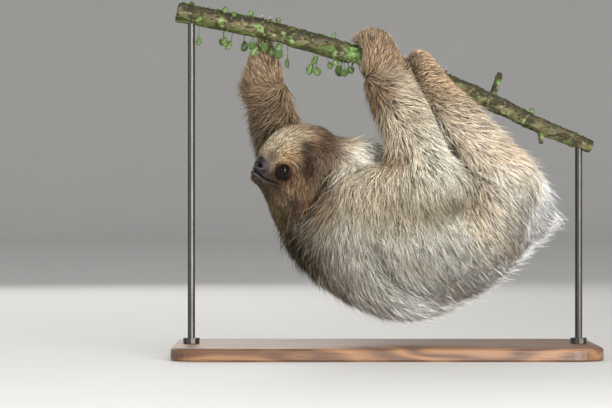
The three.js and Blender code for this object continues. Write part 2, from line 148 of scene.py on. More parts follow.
# Depth of the coat in millimetres, apart from the trunk's, which comes from the settings
LIMB_DEPTH = 7.0
PAW_DEPTH = 4.2
HEAD_DEPTH = 5.0
FACE_DEPTH = 1.7


def flesh_names():
    """The nodes that the skin stands for: all flesh but the eyes."""
    return [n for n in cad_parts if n.startswith(FLESH) and not n.startswith("eye_")]


def group_of(node):
    """The group of the body that a flesh node belongs to."""
    if node.startswith(("hand", "foot")):
        return "paw"
    if node.startswith(("upper_arm", "forearm")):
        return "arm_" + node.rsplit("_", 1)[1]
    if node.startswith(("thigh", "shank")):
        return "leg_" + node.rsplit("_", 1)[1]
    if node.startswith("tail"):
        return "rump"
    return node if node in GROUPS else "head"


def joined_flesh():
    """All the flesh solids as corners and faces, with the name of each face's node."""
    corners, faces, owners = [], [], []
    for name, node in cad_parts.items():
        if not name.startswith(FLESH):
            continue
        solid = bmesh.new()
        solid.from_mesh(node.data)
        bmesh.ops.remove_doubles(solid, verts=solid.verts, dist=1e-6)
        first = len(corners)
        corners += [tuple(v.co) for v in solid.verts]
        faces += [[first + v.index for v in f.verts] for f in solid.faces]
        owners += [name] * len(solid.faces)
        solid.free()
    return np.array(corners, dtype=np.float32), np.array(faces, dtype=np.uint32), owners


def box_share(points, node, reach):
    """1 in a node's box, falling to 0 at a distance outside it."""
    low, high = (np.array(corner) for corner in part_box(node))
    outside = np.linalg.norm(np.maximum(np.maximum(low - points, points - high), 0), axis=-1)
    return 1 - smooth_step(0, reach, outside)


def coat_depth(points, settings):
    """Depth of the coat at each place: least on the face and the paws."""
    depth = np.full(points.shape[:-1], settings.depth)
    for limb in ("forearm", "shank"):
        for side in SIDES:
            depth += (LIMB_DEPTH * MM - depth) * box_share(points, f"{limb}_{side}", 0.02) * 0.8
    for limb in ("hand", "foot"):
        for side in SIDES:
            depth += (PAW_DEPTH * MM - depth) * box_share(points, f"{limb}_{side}", 0.018)
    for node in ("tail", "ear_right", "ear_left"):
        depth += (PAW_DEPTH * MM - depth) * box_share(points, node, 0.014)
    from_head = np.linalg.norm(in_head(points) - np.array((4, 0, -12)), axis=-1)
    depth += (HEAD_DEPTH * MM - depth) * (1 - smooth_step(44, 66, from_head))
    return depth + (FACE_DEPTH * MM - depth) * face_share(points)


def closed_skin(corners, faces, settings):
    """The flesh with its creases filled, lying inside the solids by the coat's depth, as a bmesh."""
    cell = 1.7 * MM
    spacing = openvdb.createLinearTransform(voxelSize=cell)
    flesh = openvdb.FloatGrid.createLevelSetFromPolygons(
        corners, triangles=faces, transform=spacing, exBandWidth=CLOSE / cell + 2, inBandWidth=3.0
    )
    points, threes, fours = flesh.convertToPolygons(isovalue=CLOSE)
    spacing = openvdb.createLinearTransform(voxelSize=CELL)
    grown = openvdb.FloatGrid.createLevelSetFromPolygons(
        points, triangles=threes, quads=fours, transform=spacing, exBandWidth=3.0,
        inBandWidth=(CLOSE + settings.depth) / CELL + 4,
    )  # fmt: skip
    low, high = (np.array(corner) for corner in grown.evalActiveVoxelBoundingBox())
    values = np.empty(high - low + 1, dtype=np.float32)
    grown.copyToArray(values, ijk=tuple(int(v) for v in low))
    index = np.stack(np.meshgrid(*(np.arange(n) for n in values.shape), indexing="ij"), axis=-1)
    near = np.abs(values) < CLOSE + settings.depth + 3 * CELL
    depth = coat_depth((index[near] + low) * CELL, settings)
    values[near] += CLOSE + depth.astype(np.float32)
    values[~near] = np.where(values[~near] > 0, 3 * CELL, -3 * CELL)
    inner = openvdb.FloatGrid(3 * CELL)
    inner.transform = spacing
    inner.copyFromArray(values, ijk=tuple(int(v) for v in low))
    mesh = mesh_of_grid("flesh", inner)
    even = bmesh.new()
    even.from_mesh(mesh)
    bpy.data.meshes.remove(mesh)
    keep_largest_shell(even)
    bmesh.ops.recalc_face_normals(even, faces=even.faces)
    return even


def keep_largest_shell(even):
    """Leaves out the closed hollows inside a bmesh."""
    shells, seen = [], set()
    for start in even.verts:
        if start in seen:
            continue
        shell, edge = {start}, [start]
        while edge:
            for link in edge.pop().link_edges:
                for v in link.verts:
                    if v not in shell:
                        shell.add(v)
                        edge.append(v)
        seen |= shell
        shells.append(shell)
    shells.sort(key=len)
    bmesh.ops.delete(even, geom=[v for shell in shells[:-1] for v in shell], context="VERTS")


def fetched(items, key, width, kind=float):
    """A value of each of a mesh's items, as rows."""
    values = np.empty(len(items) * width, dtype=kind)
    items.foreach_get(key, values)
    return values.reshape(-1, width)


def mesh_of_grid(name, grid):
    """The surface of a level set as a mesh."""
    points, threes, fours = grid.convertToPolygons(isovalue=0.0)
    mesh = bpy.data.meshes.new(name)
    mesh.from_pydata(points.tolist(), [], threes.tolist() + fours.tolist())
    return mesh


def placed(name, shape):
    """An object of a mesh or a bmesh, linked and at the origin."""
    data = shape
    if isinstance(shape, bmesh.types.BMesh):
        data = bpy.data.meshes.new(name)
        shape.to_mesh(data)
        shape.free()
    piece = bpy.data.objects.new(name, data)
    bpy.context.collection.objects.link(piece)
    return piece


def mark(mesh, name, values):
    """Gives each vertex of a mesh a value: a number, or a colour of four."""
    if np.ndim(values) == 1:
        mesh.attributes.new(name, "FLOAT", "POINT").data.foreach_set("value", values)
    else:
        mesh.color_attributes.new(name, "FLOAT_COLOR", "POINT").data.foreach_set("color", np.ravel(values))


def tree_of(places):
    """A tree that finds the nearest of the places."""
    tree = KDTree(len(places))
    for i, place in enumerate(places):
        tree.insert(Vector(place), i)
    tree.balance()
    return tree


class Surface:
    """A mesh as arrays: places, edges and three-cornered faces, with what is known at each vertex."""

    def __init__(self, mesh):
        self.count = len(mesh.vertices)
        self.places = fetched(mesh.vertices, "co", 3)
        self.edges = fetched(mesh.edges, "vertices", 2, np.int64)
        mesh.calc_loop_triangles()
        self.faces = fetched(mesh.loop_triangles, "vertices", 3, np.int64)
        self.loops = fetched(mesh.loop_triangles, "loops", 3, np.int64)
        self.degree = np.maximum(np.bincount(self.edges.ravel(), minlength=self.count), 1)

    def around(self, values):
        """The mean of each vertex's neighbours."""
        a, b = self.edges[:, 0], self.edges[:, 1]
        total = np.stack(
            [
                np.bincount(a, column[b], self.count) + np.bincount(b, column[a], self.count)
                for column in values.reshape(self.count, -1).T
            ],
            axis=1,
        )
        return (total / self.degree[:, None]).reshape(values.shape)

    def relaxed(self, values, times, amount=0.5):
        """Values evened out over the surface."""
        for _ in range(times):
            values = values + (self.around(values) - values) * amount
        return values

    def faired(self, places, times, where):
        """Places with their facets rounded off and their size kept. where is how much, for each vertex."""
        share = 0.5 * where[:, None]

        def eased(values):
            for _ in range(times):
                values = values + (self.around(values) - values) * share
            return values

        soft = eased(places)
        return soft + eased(places - soft)

    def normals(self):
        """A unit normal for each vertex."""
        a, b, c = (self.places[self.faces[:, k]] for k in range(3))
        across = np.cross(b - a, c - a)
        summed = np.stack(
            [sum(np.bincount(self.faces[:, k], across[:, j], self.count) for k in range(3)) for j in range(3)],
            axis=1,
        )
        return unit(summed)


def unit(vectors):
    """Vectors of length 1."""
    return vectors / np.maximum(np.linalg.norm(vectors, axis=-1, keepdims=True), 1e-12)


def owners_of(places, tree, owners):
    """The flesh node nearest to each place."""
    return [owners[tree.find_nearest(Vector(p))[2]] for p in places]


def face_share(points):
    """1 on the short-haired face, falling to 0 over the crown, the cheeks and the throat."""
    f, s, u = in_head(points).T
    forward = smooth_step(2, 24, f + 0.25 * np.abs(u + 15))
    below = smooth_step(-56, -42, u)
    near = 1 - smooth_step(58, 70, np.linalg.norm(in_head(points), axis=1))
    return forward * below * near


def eye_frame(side):
    """The eyeball's centre and the way that it looks."""
    low, high = (np.array(corner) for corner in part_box(f"eye_{side}"))
    out = SIDEWAYS * SIDES[side] * math.cos(math.radians(30)) + FORWARD * math.sin(math.radians(30))
    return (low + high) / 2, out


NOSTRIL = {"f": 50.0, "s": 7.8, "u": -27.5}
MOUTH_TURN_F = 24.0  # where the mouth's line turns about, forward of the head's middle
MOUTH_CORNER = math.radians(98)


def mouth_height(turn):
    """Height of the mouth's line in the head's frame at a turn from its front, in millimetres."""
    away = np.abs(turn)
    dips = smooth_step(0, math.radians(40), away)
    rises = smooth_step(math.radians(40), MOUTH_CORNER, away)
    return -34.8 - 3.6 * dips + 1.6 * rises


def mouth_distance(points):
    """Height above the mouth's line in millimetres, and how much of the line is there."""
    f, s, u = in_head(points).T
    turn = np.arctan2(s, f - MOUTH_TURN_F)
    reach = np.hypot(s, f - MOUTH_TURN_F)
    present = (1 - smooth_step(MOUTH_CORNER - 0.2, MOUTH_CORNER + 0.05, np.abs(turn))) * (reach > 10)
    return u - mouth_height(turn), present


# Folds in the flesh on the near side: x and z along each, its depth and its breadth, all in mm, and which side of
# the line hangs over it: 1 for its left, -1 for its right
FOLDS = {
    "between hand and foot": ([(19, 333), (24, 322), (32, 298), (46, 273), (59, 243)], 5.5, 4.5, -1),
    "between arm and leg": ([(59, 243), (68, 220), (89, 207)], 8.0, 5.0, -1),
    "under the knee": ([(89, 207), (104, 198), (124, 189)], 5.0, 4.5, 1),
    "behind the cheek": ([(-62, 212), (-62, 198), (-68, 181), (-84, 165), (-98, 149)], 5.5, 5.0, -1),
    "along the flank": ([(-12, 124), (2, 96), (17, 80), (44, 68), (68, 58)], 9.0, 5.5, 1),
}
NO_FOLD = 99.0  # more room than any hair needs, in mm
# Fuller places: x, y and z of the middle in mm, the reach and the height
PADS = {
    "nape": ((-52, -2, 236), 26, 4.5),
    "nape's foot": ((-18, -4, 226), 20, 3.0),
    "haunch": ((97, -62, 134), 15, 5.0),
}
# How much of the facets' rounding reaches each kind of node, by the start of its name
EASE = {
    "trunk": 1.0, "neck": 0.9, "rump": 1.0, "thigh": 0.8, "upper_arm": 0.6, "forearm": 0.35, "shank": 0.35,
    "hand": 0.10, "foot": 0.10, "tail": 0.12, "head": 0.35, "nose": 0.05, "eye_": 0.05, "ear_": 0.1,
}  # fmt: skip


def padded_out(places, normals):
    """Places pushed out where the body is fuller."""
    push = np.zeros(len(places))
    for centre, reach, height in PADS.values():
        push += height * mound(np.linalg.norm(places / MM - np.array(centre), axis=1), reach)
    return places + normals * (push * MM)[:, None]


def from_line(x, z, line):
    """Distance to a bent line, and the distance above it, in the plane of the body's length and height."""
    nearest = np.full(len(x), 1e9)
    above = np.zeros(len(x))
    for (x0, z0), (x1, z1) in zip(line, line[1:]):
        length = math.hypot(x1 - x0, z1 - z0)
        ex, ez = (x1 - x0) / length, (z1 - z0) / length
        t = np.clip((x - x0) * ex + (z - z0) * ez, 0, length)
        away = np.hypot(x - x0 - ex * t, z - z0 - ez * t)
        closer = away < nearest
        above = np.where(closer, (z - z0) * ex - (x - x0) * ez, above)
        nearest = np.where(closer, away, nearest)
    return nearest, above


def folds_from(points):
    """Each fold's distance, how far a point is on the side that hangs over it, its depth and its breadth."""
    x, _, z = (points / MM).T
    for line, depth, breadth, over in FOLDS.values():
        away, above = from_line(x, z, line)
        yield away, above * over, depth, breadth


def creased(places, normals):
    """Places with the body's folds pressed into them."""
    _, y, z = (places / MM).T
    facing = smooth_step(0.0, 0.45, -normals[:, 1]) * (1 - smooth_step(-30, -10, y - 18 * at_branch(z)))
    push = np.zeros(len(places))
    for away, over, depth, breadth in folds_from(places):
        push = np.minimum(push, -depth * mound(away, breadth * (1 + 0.6 * smooth_step(-1, 1, -over))))
    return places + normals * (push * facing * MM)[:, None]


def at_branch(z):
    """1 at the height of the paws, which hold the branch and so lie nearer the middle."""
    return smooth_step(255, 290, z)


def near_side(points):
    """True on the side where the folds are."""
    _, y, z = (points / MM).T
    return y < -12 + 14 * at_branch(z)


def fold_share(points):
    """1 in the bottom of a fold of the near side."""
    share = np.zeros(len(points))
    for away, over, _, breadth in folds_from(points):
        share = np.maximum(share, mound(away, breadth * (0.55 + 0.75 * smooth_step(-1.5, 1.5, -over))))
    return share * near_side(points)


def room_to_fold(points):
    """How far hair may reach, in mm, so that it ends just past the fold that it hangs over."""
    room = np.full(len(points), NO_FOLD)
    for away, over, _, _ in folds_from(points):
        room = np.where((over > 0) & (away < 34), np.minimum(room, away + 7), room)
    return np.where(near_side(points), room, NO_FOLD)


def carve_eyes(places, settings):
    """Sockets with round lids, which stand out a little and hold the eyeballs."""
    for side in SIDES:
        centre, out = eye_frame(side)
        offset = places - centre
        along = offset @ out
        radius = np.linalg.norm(offset - along[:, None] * out, axis=1)
        radius = np.where(along < -0.006, 1, radius)
        opening = settings.opening
        ball = settings.eyeball
        edge = math.sqrt(max(ball**2 - opening**2, 0)) + settings.lid
        lid = -1.2 * MM + (edge + 1.2 * MM) * smooth_step(opening - 1.0 * MM, opening + 0.1 * MM, radius)
        lid_there = 1 - smooth_step(opening + 0.9 * MM, opening + 3.2 * MM, radius)
        hollow = -1.1 * MM * mound(radius - (opening + 4.2 * MM), 2.2 * MM)
        moved = along + (lid - along) * lid_there + hollow * (radius < 0.03)
        places = places + np.outer(moved - along, out)
    return places


def carve_muzzle(places, normals, settings):
    """The mouth's line between the lips, the nostrils and the groove between them."""
    height, present = mouth_distance(places)
    f, s, u = in_head(places).T
    front = smooth_step(8, 20, f)
    groove = -settings.groove * mound(height, 1.0) * present
    lower_lip = 0.7 * MM * mound(height + 2.7, 1.4) * present
    upper_lip = 0.5 * MM * mound(height - 2.4, 1.6) * present
    push = (groove + lower_lip + upper_lip) * front
    for side in SIDES.values():
        pit = head_place(NOSTRIL["f"], side * NOSTRIL["s"], NOSTRIL["u"])
        offset = (places - pit) @ HEAD_AXES.T / MM
        slant = np.hypot(offset[:, 1] * 0.8 + side * offset[:, 2] * 0.3, offset[:, 2] * 1.1)
        ahead = (np.abs(offset[:, 0]) < 9).astype(float)
        push += -settings.nostril * (1 - smooth_step(1.2, 2.9, slant)) * ahead
        push += 0.6 * MM * mound(slant - 3.7, 1.0) * ahead
    cleft = mound(s, 0.8) * smooth_step(-34, -31, u) * (1 - smooth_step(-24, -21, u)) * (f > 35)
    push += -0.6 * MM * cleft
    return places + normals * push[:, None]


def fold_face(places, normals):
    """Soft folds: the brow over each eye, a crease from eye to mouth's corner, and the cheek behind it."""
    f, s, u = in_head(places).T
    side = np.abs(s)
    push = 0.9 * mound(u + 9 + 0.15 * (f - 28), 3.2) * mound(f - 28, 13) * smooth_step(10, 18, side)
    push -= 0.8 * mound(side - 15, 2.8) * mound(u + 20, 8) * mound(f - 40, 7)
    push += 0.8 * mound(f - 15, 6) * mound(u + 33, 6) * smooth_step(15, 22, side)
    jaw = mound(u + 38.5, 6.5) * smooth_step(22, 38, f) * mound(s, 17)
    forward = np.outer(jaw, np.array((4.6, 0, -0.8)) @ HEAD_AXES)
    return places + (normals * push[:, None] + forward) * MM


def subdivided_face(even):
    """The bmesh with the face's own faces split twice, so that lids and lips can be cut in them."""
    for reach in (30, 21):
        places = np.array([v.co for v in even.verts])
        f, s, u = in_head(places).T
        inside = (np.hypot(f - 36, u + 26) < reach) & (f > 8) & (np.abs(s) < 40)
        chosen = {v for v, there in zip(even.verts, inside) if there}
        edges = [e for e in even.edges if e.verts[0] in chosen and e.verts[1] in chosen]
        bmesh.ops.subdivide_edges(even, edges=edges, cuts=1, use_grid_fill=True)
    bmesh.ops.triangulate(even, faces=even.faces)
    return even


def unwrap(piece):
    """Unfolds a piece onto the map that bakes use, by its own shape."""
    piece.data.uv_layers.new(name="OFBake")
    bpy.context.view_layer.objects.active = piece
    for other in bpy.context.selected_objects:
        other.select_set(False)
    piece.select_set(True)
    bpy.ops.object.mode_set(mode="EDIT")
    bpy.ops.mesh.select_all(action="SELECT")
    bpy.ops.uv.smart_project(angle_limit=math.radians(72), island_margin=0.002)
    bpy.ops.object.mode_set(mode="OBJECT")
    piece.select_set(False)


class Skin:
    """What the coat needs to know of the skin. It is filled by the skin's operator."""

    surface = None
    normals = None
    groups = None  # share of each group at each vertex
    depths = None
    map = None


def build_skin(coat, face):
    """The one skin, as an object, with its arrays kept in Skin for the coat."""
    corners, faces, owners = joined_flesh()
    tree = BVHTree.FromPolygons(corners.tolist(), faces.tolist())
    even = closed_skin(corners, faces, coat)
    mesh = bpy.data.meshes.new("skin")
    even.to_mesh(mesh)
    surface = Surface(mesh)
    names = owners_of(surface.places, tree, owners)
    ease = np.array([next(EASE[k] for k in EASE if n.startswith(k)) for n in names])
    ease = surface.relaxed(ease * (1 - 0.85 * face_share(surface.places)), 8)
    surface.places = surface.faired(surface.places, 90, ease)
    surface.places = padded_out(surface.places, surface.normals())
    surface.places = creased(surface.places, surface.normals())
    for v, place in zip(even.verts, surface.places):
        v.co = place
    even = subdivided_face(even)
    even.to_mesh(mesh)
    even.free()

    surface = Surface(mesh)
    near_face = face_share(surface.places) > 0.02
    for _ in range(3):
        surface.places[near_face] += 0.5 * (surface.around(surface.places) - surface.places)[near_face]
    surface.places = fold_face(surface.places, surface.normals())
    surface.places = carve_eyes(surface.places, face)
    surface.places = carve_muzzle(surface.places, surface.normals(), face)
    mesh.vertices.foreach_set("co", surface.places.ravel())
    mesh.update()
    piece = placed("skin", mesh)
    unwrap(piece)
    mesh.shade_smooth()

    Skin.surface = surface
    Skin.normals = surface.normals()
    names = owners_of(surface.places, tree, owners)
    member = np.array([[group_of(n) == g for g in GROUPS] for n in names], dtype=float)
    Skin.groups = surface.relaxed(member, 22)
    Skin.map = fetched(mesh.uv_layers["OFBake"].uv, "vector", 2)
    Skin.depths = coat_depth(surface.places, coat)
    colours = np.ones((surface.count, 4))
    bare = bare_share(surface.places)
    eye = 1 - smooth_step(6.5 * MM, 10 * MM, eye_distance(surface.places))
    # Where hair grows the skin is half as dark: partly the coat's darker undercoat, partly painted shade deep between
    # the tufts. The naked nose and lips and the skin near the eyes keep their full colour.
    deep = 0.5 + 0.5 * np.maximum(bare, eye)
    colours[:, :3] = markings(surface.places, Skin.groups) * deep[:, None]
    mark(mesh, "marking", colours)
    mark(mesh, "bare", bare)
    return piece


# ---------------------------------------------------------------- finishes
def linear(red, green, blue):
    """A screen colour, given in 0 to 255, as linear light."""
    c = np.array((red, green, blue)) / 255
    return tuple(np.where(c <= 0.04045, c / 12.92, ((c + 0.055) / 1.055) ** 2.4))


class Nodes:
    """A short way to lay out the nodes of a material or a group."""

    def __init__(self, tree):
        self.tree = tree
        self.made = 0

    def add(self, kind, values=None, **settings):
        """A node of a kind, with its settings and the values or links of its inputs."""
        node = self.tree.nodes.new(kind)
        node.location = (220 * (self.made % 6), -260 * (self.made // 6))
        self.made += 1
        for key, value in settings.items():
            setattr(node, key, value)
        for key, value in (values or {}).items():
            if isinstance(value, bpy.types.NodeSocket):
                self.tree.links.new(value, node.inputs[key])
            else:
                node.inputs[key].default_value = value
        return node

    def math(self, operation, a, b=0.0):
        return self.add("ShaderNodeMath", {0: a, 1: b}, operation=operation).outputs[0]

    def noise(self, place, scale, detail):
        return self.add("ShaderNodeTexNoise", {"Vector": place, "Scale": scale, "Detail": detail}).outputs["Fac"]

    def cells(self, place, scale):
        return self.add("ShaderNodeTexVoronoi", {"Vector": place, "Scale": scale}).outputs["Distance"]

    def known(self, name, kind="Fac"):
        """A value or a colour that the mesh knows at each vertex."""
        return self.add("ShaderNodeAttribute", attribute_name=name).outputs[kind]

    def mix(self, amount, a, b, **settings):
        """Colour a turning into colour b."""
        a, b = (c if isinstance(c, bpy.types.NodeSocket) else (*c, 1) for c in (a, b))
        return self.add("ShaderNodeMix", {0: amount, 6: a, 7: b}, data_type="RGBA", **settings).outputs[2]

    def feed(self, node, **values):
        """Links values to the inputs of a node."""
        for key, value in values.items():
            self.tree.links.new(value, node.inputs[key.replace("_", " ")])

    def ramp(self, value, low, high):
        """0 below low and 1 above high."""
        node = self.add(
            "ShaderNodeMapRange", {0: value, 1: low, 2: high}, clamp=True, interpolation_type="SMOOTHSTEP"
        )
        return node.outputs[0]

    def place(self, scale=(1, 1, 1)):
        """Object coordinates, drawn out or pressed together along each axis."""
        coords = self.add("ShaderNodeTexCoord").outputs["Object"]
        return self.add("ShaderNodeMapping", {"Vector": coords, "Scale": scale}).outputs[0]


def new_finish(name, roughness, **constants):
    """A material with its Principled shader: the material, its nodes and the shader."""
    material = bpy.data.materials.new(name)
    material.use_nodes = True
    shader = material.node_tree.nodes["Principled BSDF"]
    for key, value in {"Roughness": roughness, **constants}.items():
        shader.inputs[key.replace("_", " ")].default_value = value
    return material, Nodes(material.node_tree), shader


def mottle_group():
    """The group that every finish shares: patches and specks over a colour, and their height for bumps."""
    known = bpy.data.node_groups.get("Mottle")
    if known:
        return known
    group = bpy.data.node_groups.new("Mottle", "ShaderNodeTree")
    sockets = {"Place": "Vector", "Colour": "Color", "Patches": "Float", "Specks": "Float", "Strength": "Float"}
    for way, kinds in (("INPUT", sockets), ("OUTPUT", {"Colour": "Color", "Height": "Float"})):
        for name, kind in kinds.items():
            group.interface.new_socket(name, in_out=way, socket_type="NodeSocket" + kind)
    nodes = Nodes(group)
    given = nodes.add("NodeGroupInput").outputs
    broad = nodes.noise(given["Place"], given["Patches"], 4.0)
    both = nodes.math("ADD", broad, nodes.noise(given["Place"], given["Specks"], 3.0))
    swing = nodes.math("MULTIPLY", nodes.math("SUBTRACT", both, 1.0), given["Strength"])
    tone = nodes.math("ADD", swing, 1.0)
    grey = nodes.add("ShaderNodeCombineColor", {0: tone, 1: tone, 2: tone}).outputs[0]
    toned = nodes.mix(1, given["Colour"], grey, blend_type="MULTIPLY", clamp_result=False)
    nodes.feed(nodes.add("NodeGroupOutput"), Colour=toned, Height=both)
    return group


def mottled(nodes, shader, place, colour, patches, specks, strength):
    """Colours the shader through the Mottle group, and gives the height of the same patches and specks."""
    values = {"Place": place, "Colour": colour, "Patches": patches, "Specks": specks, "Strength": strength}
    node = nodes.add("ShaderNodeGroup", values, node_tree=mottle_group())
    nodes.feed(shader, Base_Color=node.outputs["Colour"])
    return node.outputs["Height"]


def bumped(nodes, shader, height, distance, strength):
    """Feeds a height to the shader's normal."""
    values = {"Height": height, "Distance": distance, "Strength": strength}
    nodes.feed(shader, Normal=nodes.add("ShaderNodeBump", values).outputs[0])


def floor_finish(colour):
    """A plain pale floor, almost even."""
    material, nodes, shader = new_finish("pale floor", 0.62)
    mottled(nodes, shader, nodes.place(), (*colour, 1), 1.3, 9.0, 0.05)
    return material


def skin_finish():
    """Skin under the coat: the coat's markings, darker where hair grows for the undercoat and for painted shade, wet
    dark skin on the nose and lips.
    """
    material, nodes, shader = new_finish("skin", 0.6, Specular_IOR_Level=0.22)
    place = nodes.place()
    height = mottled(nodes, shader, place, nodes.known("marking", "Color"), 160.0, 700.0, 0.6)
    raised = nodes.math("ADD", nodes.math("MULTIPLY", nodes.cells(place, 950.0), 0.8), height)
    nodes.feed(shader, Roughness=nodes.math("SUBTRACT", 0.8, nodes.math("MULTIPLY", nodes.known("bare"), 0.34)))
    bumped(nodes, shader, raised, 0.0004, 0.6)
    return material


def coat_finish():
    """Hair: the colour is worked out for each tuft from root to tip, darker towards the root partly as painted shade
    deep in the coat.
    """
    material, nodes, shader = new_finish("coat", 0.62, Specular_IOR_Level=0.28)
    mottled(nodes, shader, nodes.place(), nodes.known("marking", "Color"), 28.0, 420.0, 0.26)
    return material


MOST_FACES = 190000  # the most faces that the skin may have; of the skin, so that it stays under the export's limit for one piece


class SLOTH_OT_skin(bpy.types.Operator):
    """Make the one skin under the coat, with the lids, lips and nostrils in it"""

    bl_idname = "sloth.skin"
    bl_label = "Skin"

    def execute(self, context):
        skin = build_skin(context.scene.sloth_coat, context.scene.sloth_face)
        if len(skin.data.polygons) > MOST_FACES:
            raise RuntimeError("the skin has too many faces")
        skin.data.materials.append(skin_finish())
        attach(skin, BODY)
        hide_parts(*flesh_names())
        return {"FINISHED"}


# ---------------------------------------------------------------- markings
# Skin and tufts take their colour from the same rules: a ground colour for each group of the body, then soft
# patches, some of which are painted shade in folds and clefts or painted light on the rump, the back and the nape.
# A patch on the body is an oval in the plane of the body's length and height, on both of its sides, or on the near
# side alone where it names no group.
GROUND = {
    "head": (172, 149, 124), "neck": (198, 190, 170), "trunk": (208, 204, 190), "rump": (244, 241, 233),
    "arm_right": (206, 192, 168), "arm_left": (150, 127, 100), "leg_right": (216, 202, 180),
    "leg_left": (206, 190, 166), "paw": (190, 163, 132),
}  # fmt: skip
# name: the group, x and z of the middle, reach along x and z in mm, colour, share
BODY_PATCHES = {
    "wrist's dark edge": ("arm_right", -19, 282, 17, 36, (106, 82, 57), 0.95),
    "whorl": ("", -18, 307, 9, 7, (136, 108, 78), 0.6),
    # Painted shade in the gap between the near hand and foot
    "painted shade in the gap by the hand": ("", 21, 325, 4, 10, (44, 34, 25), 0.9),
    "painted shade at the gap's foot": ("", 29, 302, 4, 13, (70, 54, 38), 0.8),
    "wrist's rust touch": ("arm_right", -10, 292, 6, 7, (158, 116, 74), 0.5),
    "elbow": ("arm_right", 50, 250, 24, 26, (232, 224, 206), 0.75),
    "armpit": ("arm_right", 62, 212, 30, 24, (238, 232, 216), 0.75),
    "shoulder's tan": ("trunk", -10, 212, 34, 20, (186, 164, 134), 0.7),
    "arm's rusty root": ("", 8, 224, 16, 11, (166, 128, 92), 0.7),
    "trunk's upper shade": ("trunk", 24, 158, 56, 28, (180, 170, 146), 0.5),
    "behind the cheek": ("neck", -52, 194, 22, 32, (146, 124, 96), 0.95),
    # Painted shade, nearly black, down the fold behind the cheek
    "cheek's cleft painted shade": ("", -68, 188, 7, 16, (36, 24, 14), 0.95),
    "cleft's root painted shade": ("", -62, 202, 7, 11, (34, 22, 13), 0.9),
    "cleft's foot painted shade": ("", -77, 169, 11, 7, (46, 34, 22), 0.85),
    "cleft's rust": ("", -58, 178, 5, 7, (158, 104, 56), 0.5),
    "arm's shadow": ("", 68, 232, 7, 15, (92, 70, 48), 0.85),
    # Painted shade in the crease between the near arm and the leg, and in the hollow by the knee
    "leg's root painted shade": ("", 82, 211, 12, 7, (84, 64, 44), 0.85),
    "knee's fold painted shade": ("", 104, 199, 12, 5, (112, 90, 66), 0.6),
    "knee's hollow painted shade": ("", 101, 188, 12, 14, (154, 122, 90), 0.8),
    # The rump's pale hair, made paler still as painted light where the rump turns away from the lamps
    "rump's painted light": ("", 152, 158, 24, 34, (255, 252, 244), 0.85),
    "rump's lower painted light": ("", 120, 108, 34, 20, (255, 252, 244), 0.85),
    "throat": ("neck", -104, 158, 22, 22, (92, 80, 50), 0.9),
    "lower mane": ("neck", -90, 138, 30, 30, (44, 39, 27), 1.0),
    "breast's edge": ("", -84, 122, 26, 24, (78, 70, 52), 0.8),
    "mane's light lock": ("neck", -40, 150, 12, 34, (186, 178, 158), 0.6),
    # The nape's pale hair, made paler still as painted light where the nape lies in shade
    "nape": ("neck", -44, 230, 30, 20, (236, 226, 208), 0.9),
    "chest": ("trunk", -74, 100, 20, 20, (176, 168, 146), 0.5),
    # The back's pale band, made paler still as painted light where the underside lies in shade
    "back's pale band and painted light": ("trunk", 22, 62, 90, 40, (242, 243, 235), 0.75),
    "flank's light": ("trunk", 60, 120, 50, 40, (232, 230, 220), 0.5),
    # Painted shade in the fold along the flank
    "flank's fold painted shade": ("trunk", 2, 98, 8, 12, (84, 76, 62), 0.6),
    "flank's upper fold painted shade": ("trunk", -10, 118, 7, 12, (120, 110, 92), 0.5),
    "arm's lower shade": ("trunk", 18, 118, 24, 16, (168, 158, 138), 0.45),
    "knee's shade": ("leg_right", 93, 182, 9, 16, (132, 111, 86), 0.6),
    "flank's shade": ("trunk", 78, 176, 12, 22, (150, 136, 112), 0.5),
    "hip's shade": ("rump", 124, 133, 11, 10, (184, 170, 148), 0.4),
    "leg's warm edge": ("leg_right", 140, 232, 36, 24, (200, 172, 144), 0.7),
    "shank's warm edge": ("leg_right", 72, 292, 34, 26, (172, 148, 122), 0.8),
    "thigh's light": ("leg_right", 118, 196, 26, 20, (238, 229, 212), 0.8),
    "far elbow": ("arm_left", -112, 262, 16, 18, (128, 110, 84), 0.5),
    "far shoulder": ("arm_left", -58, 205, 38, 34, (198, 190, 172), 0.95),
}
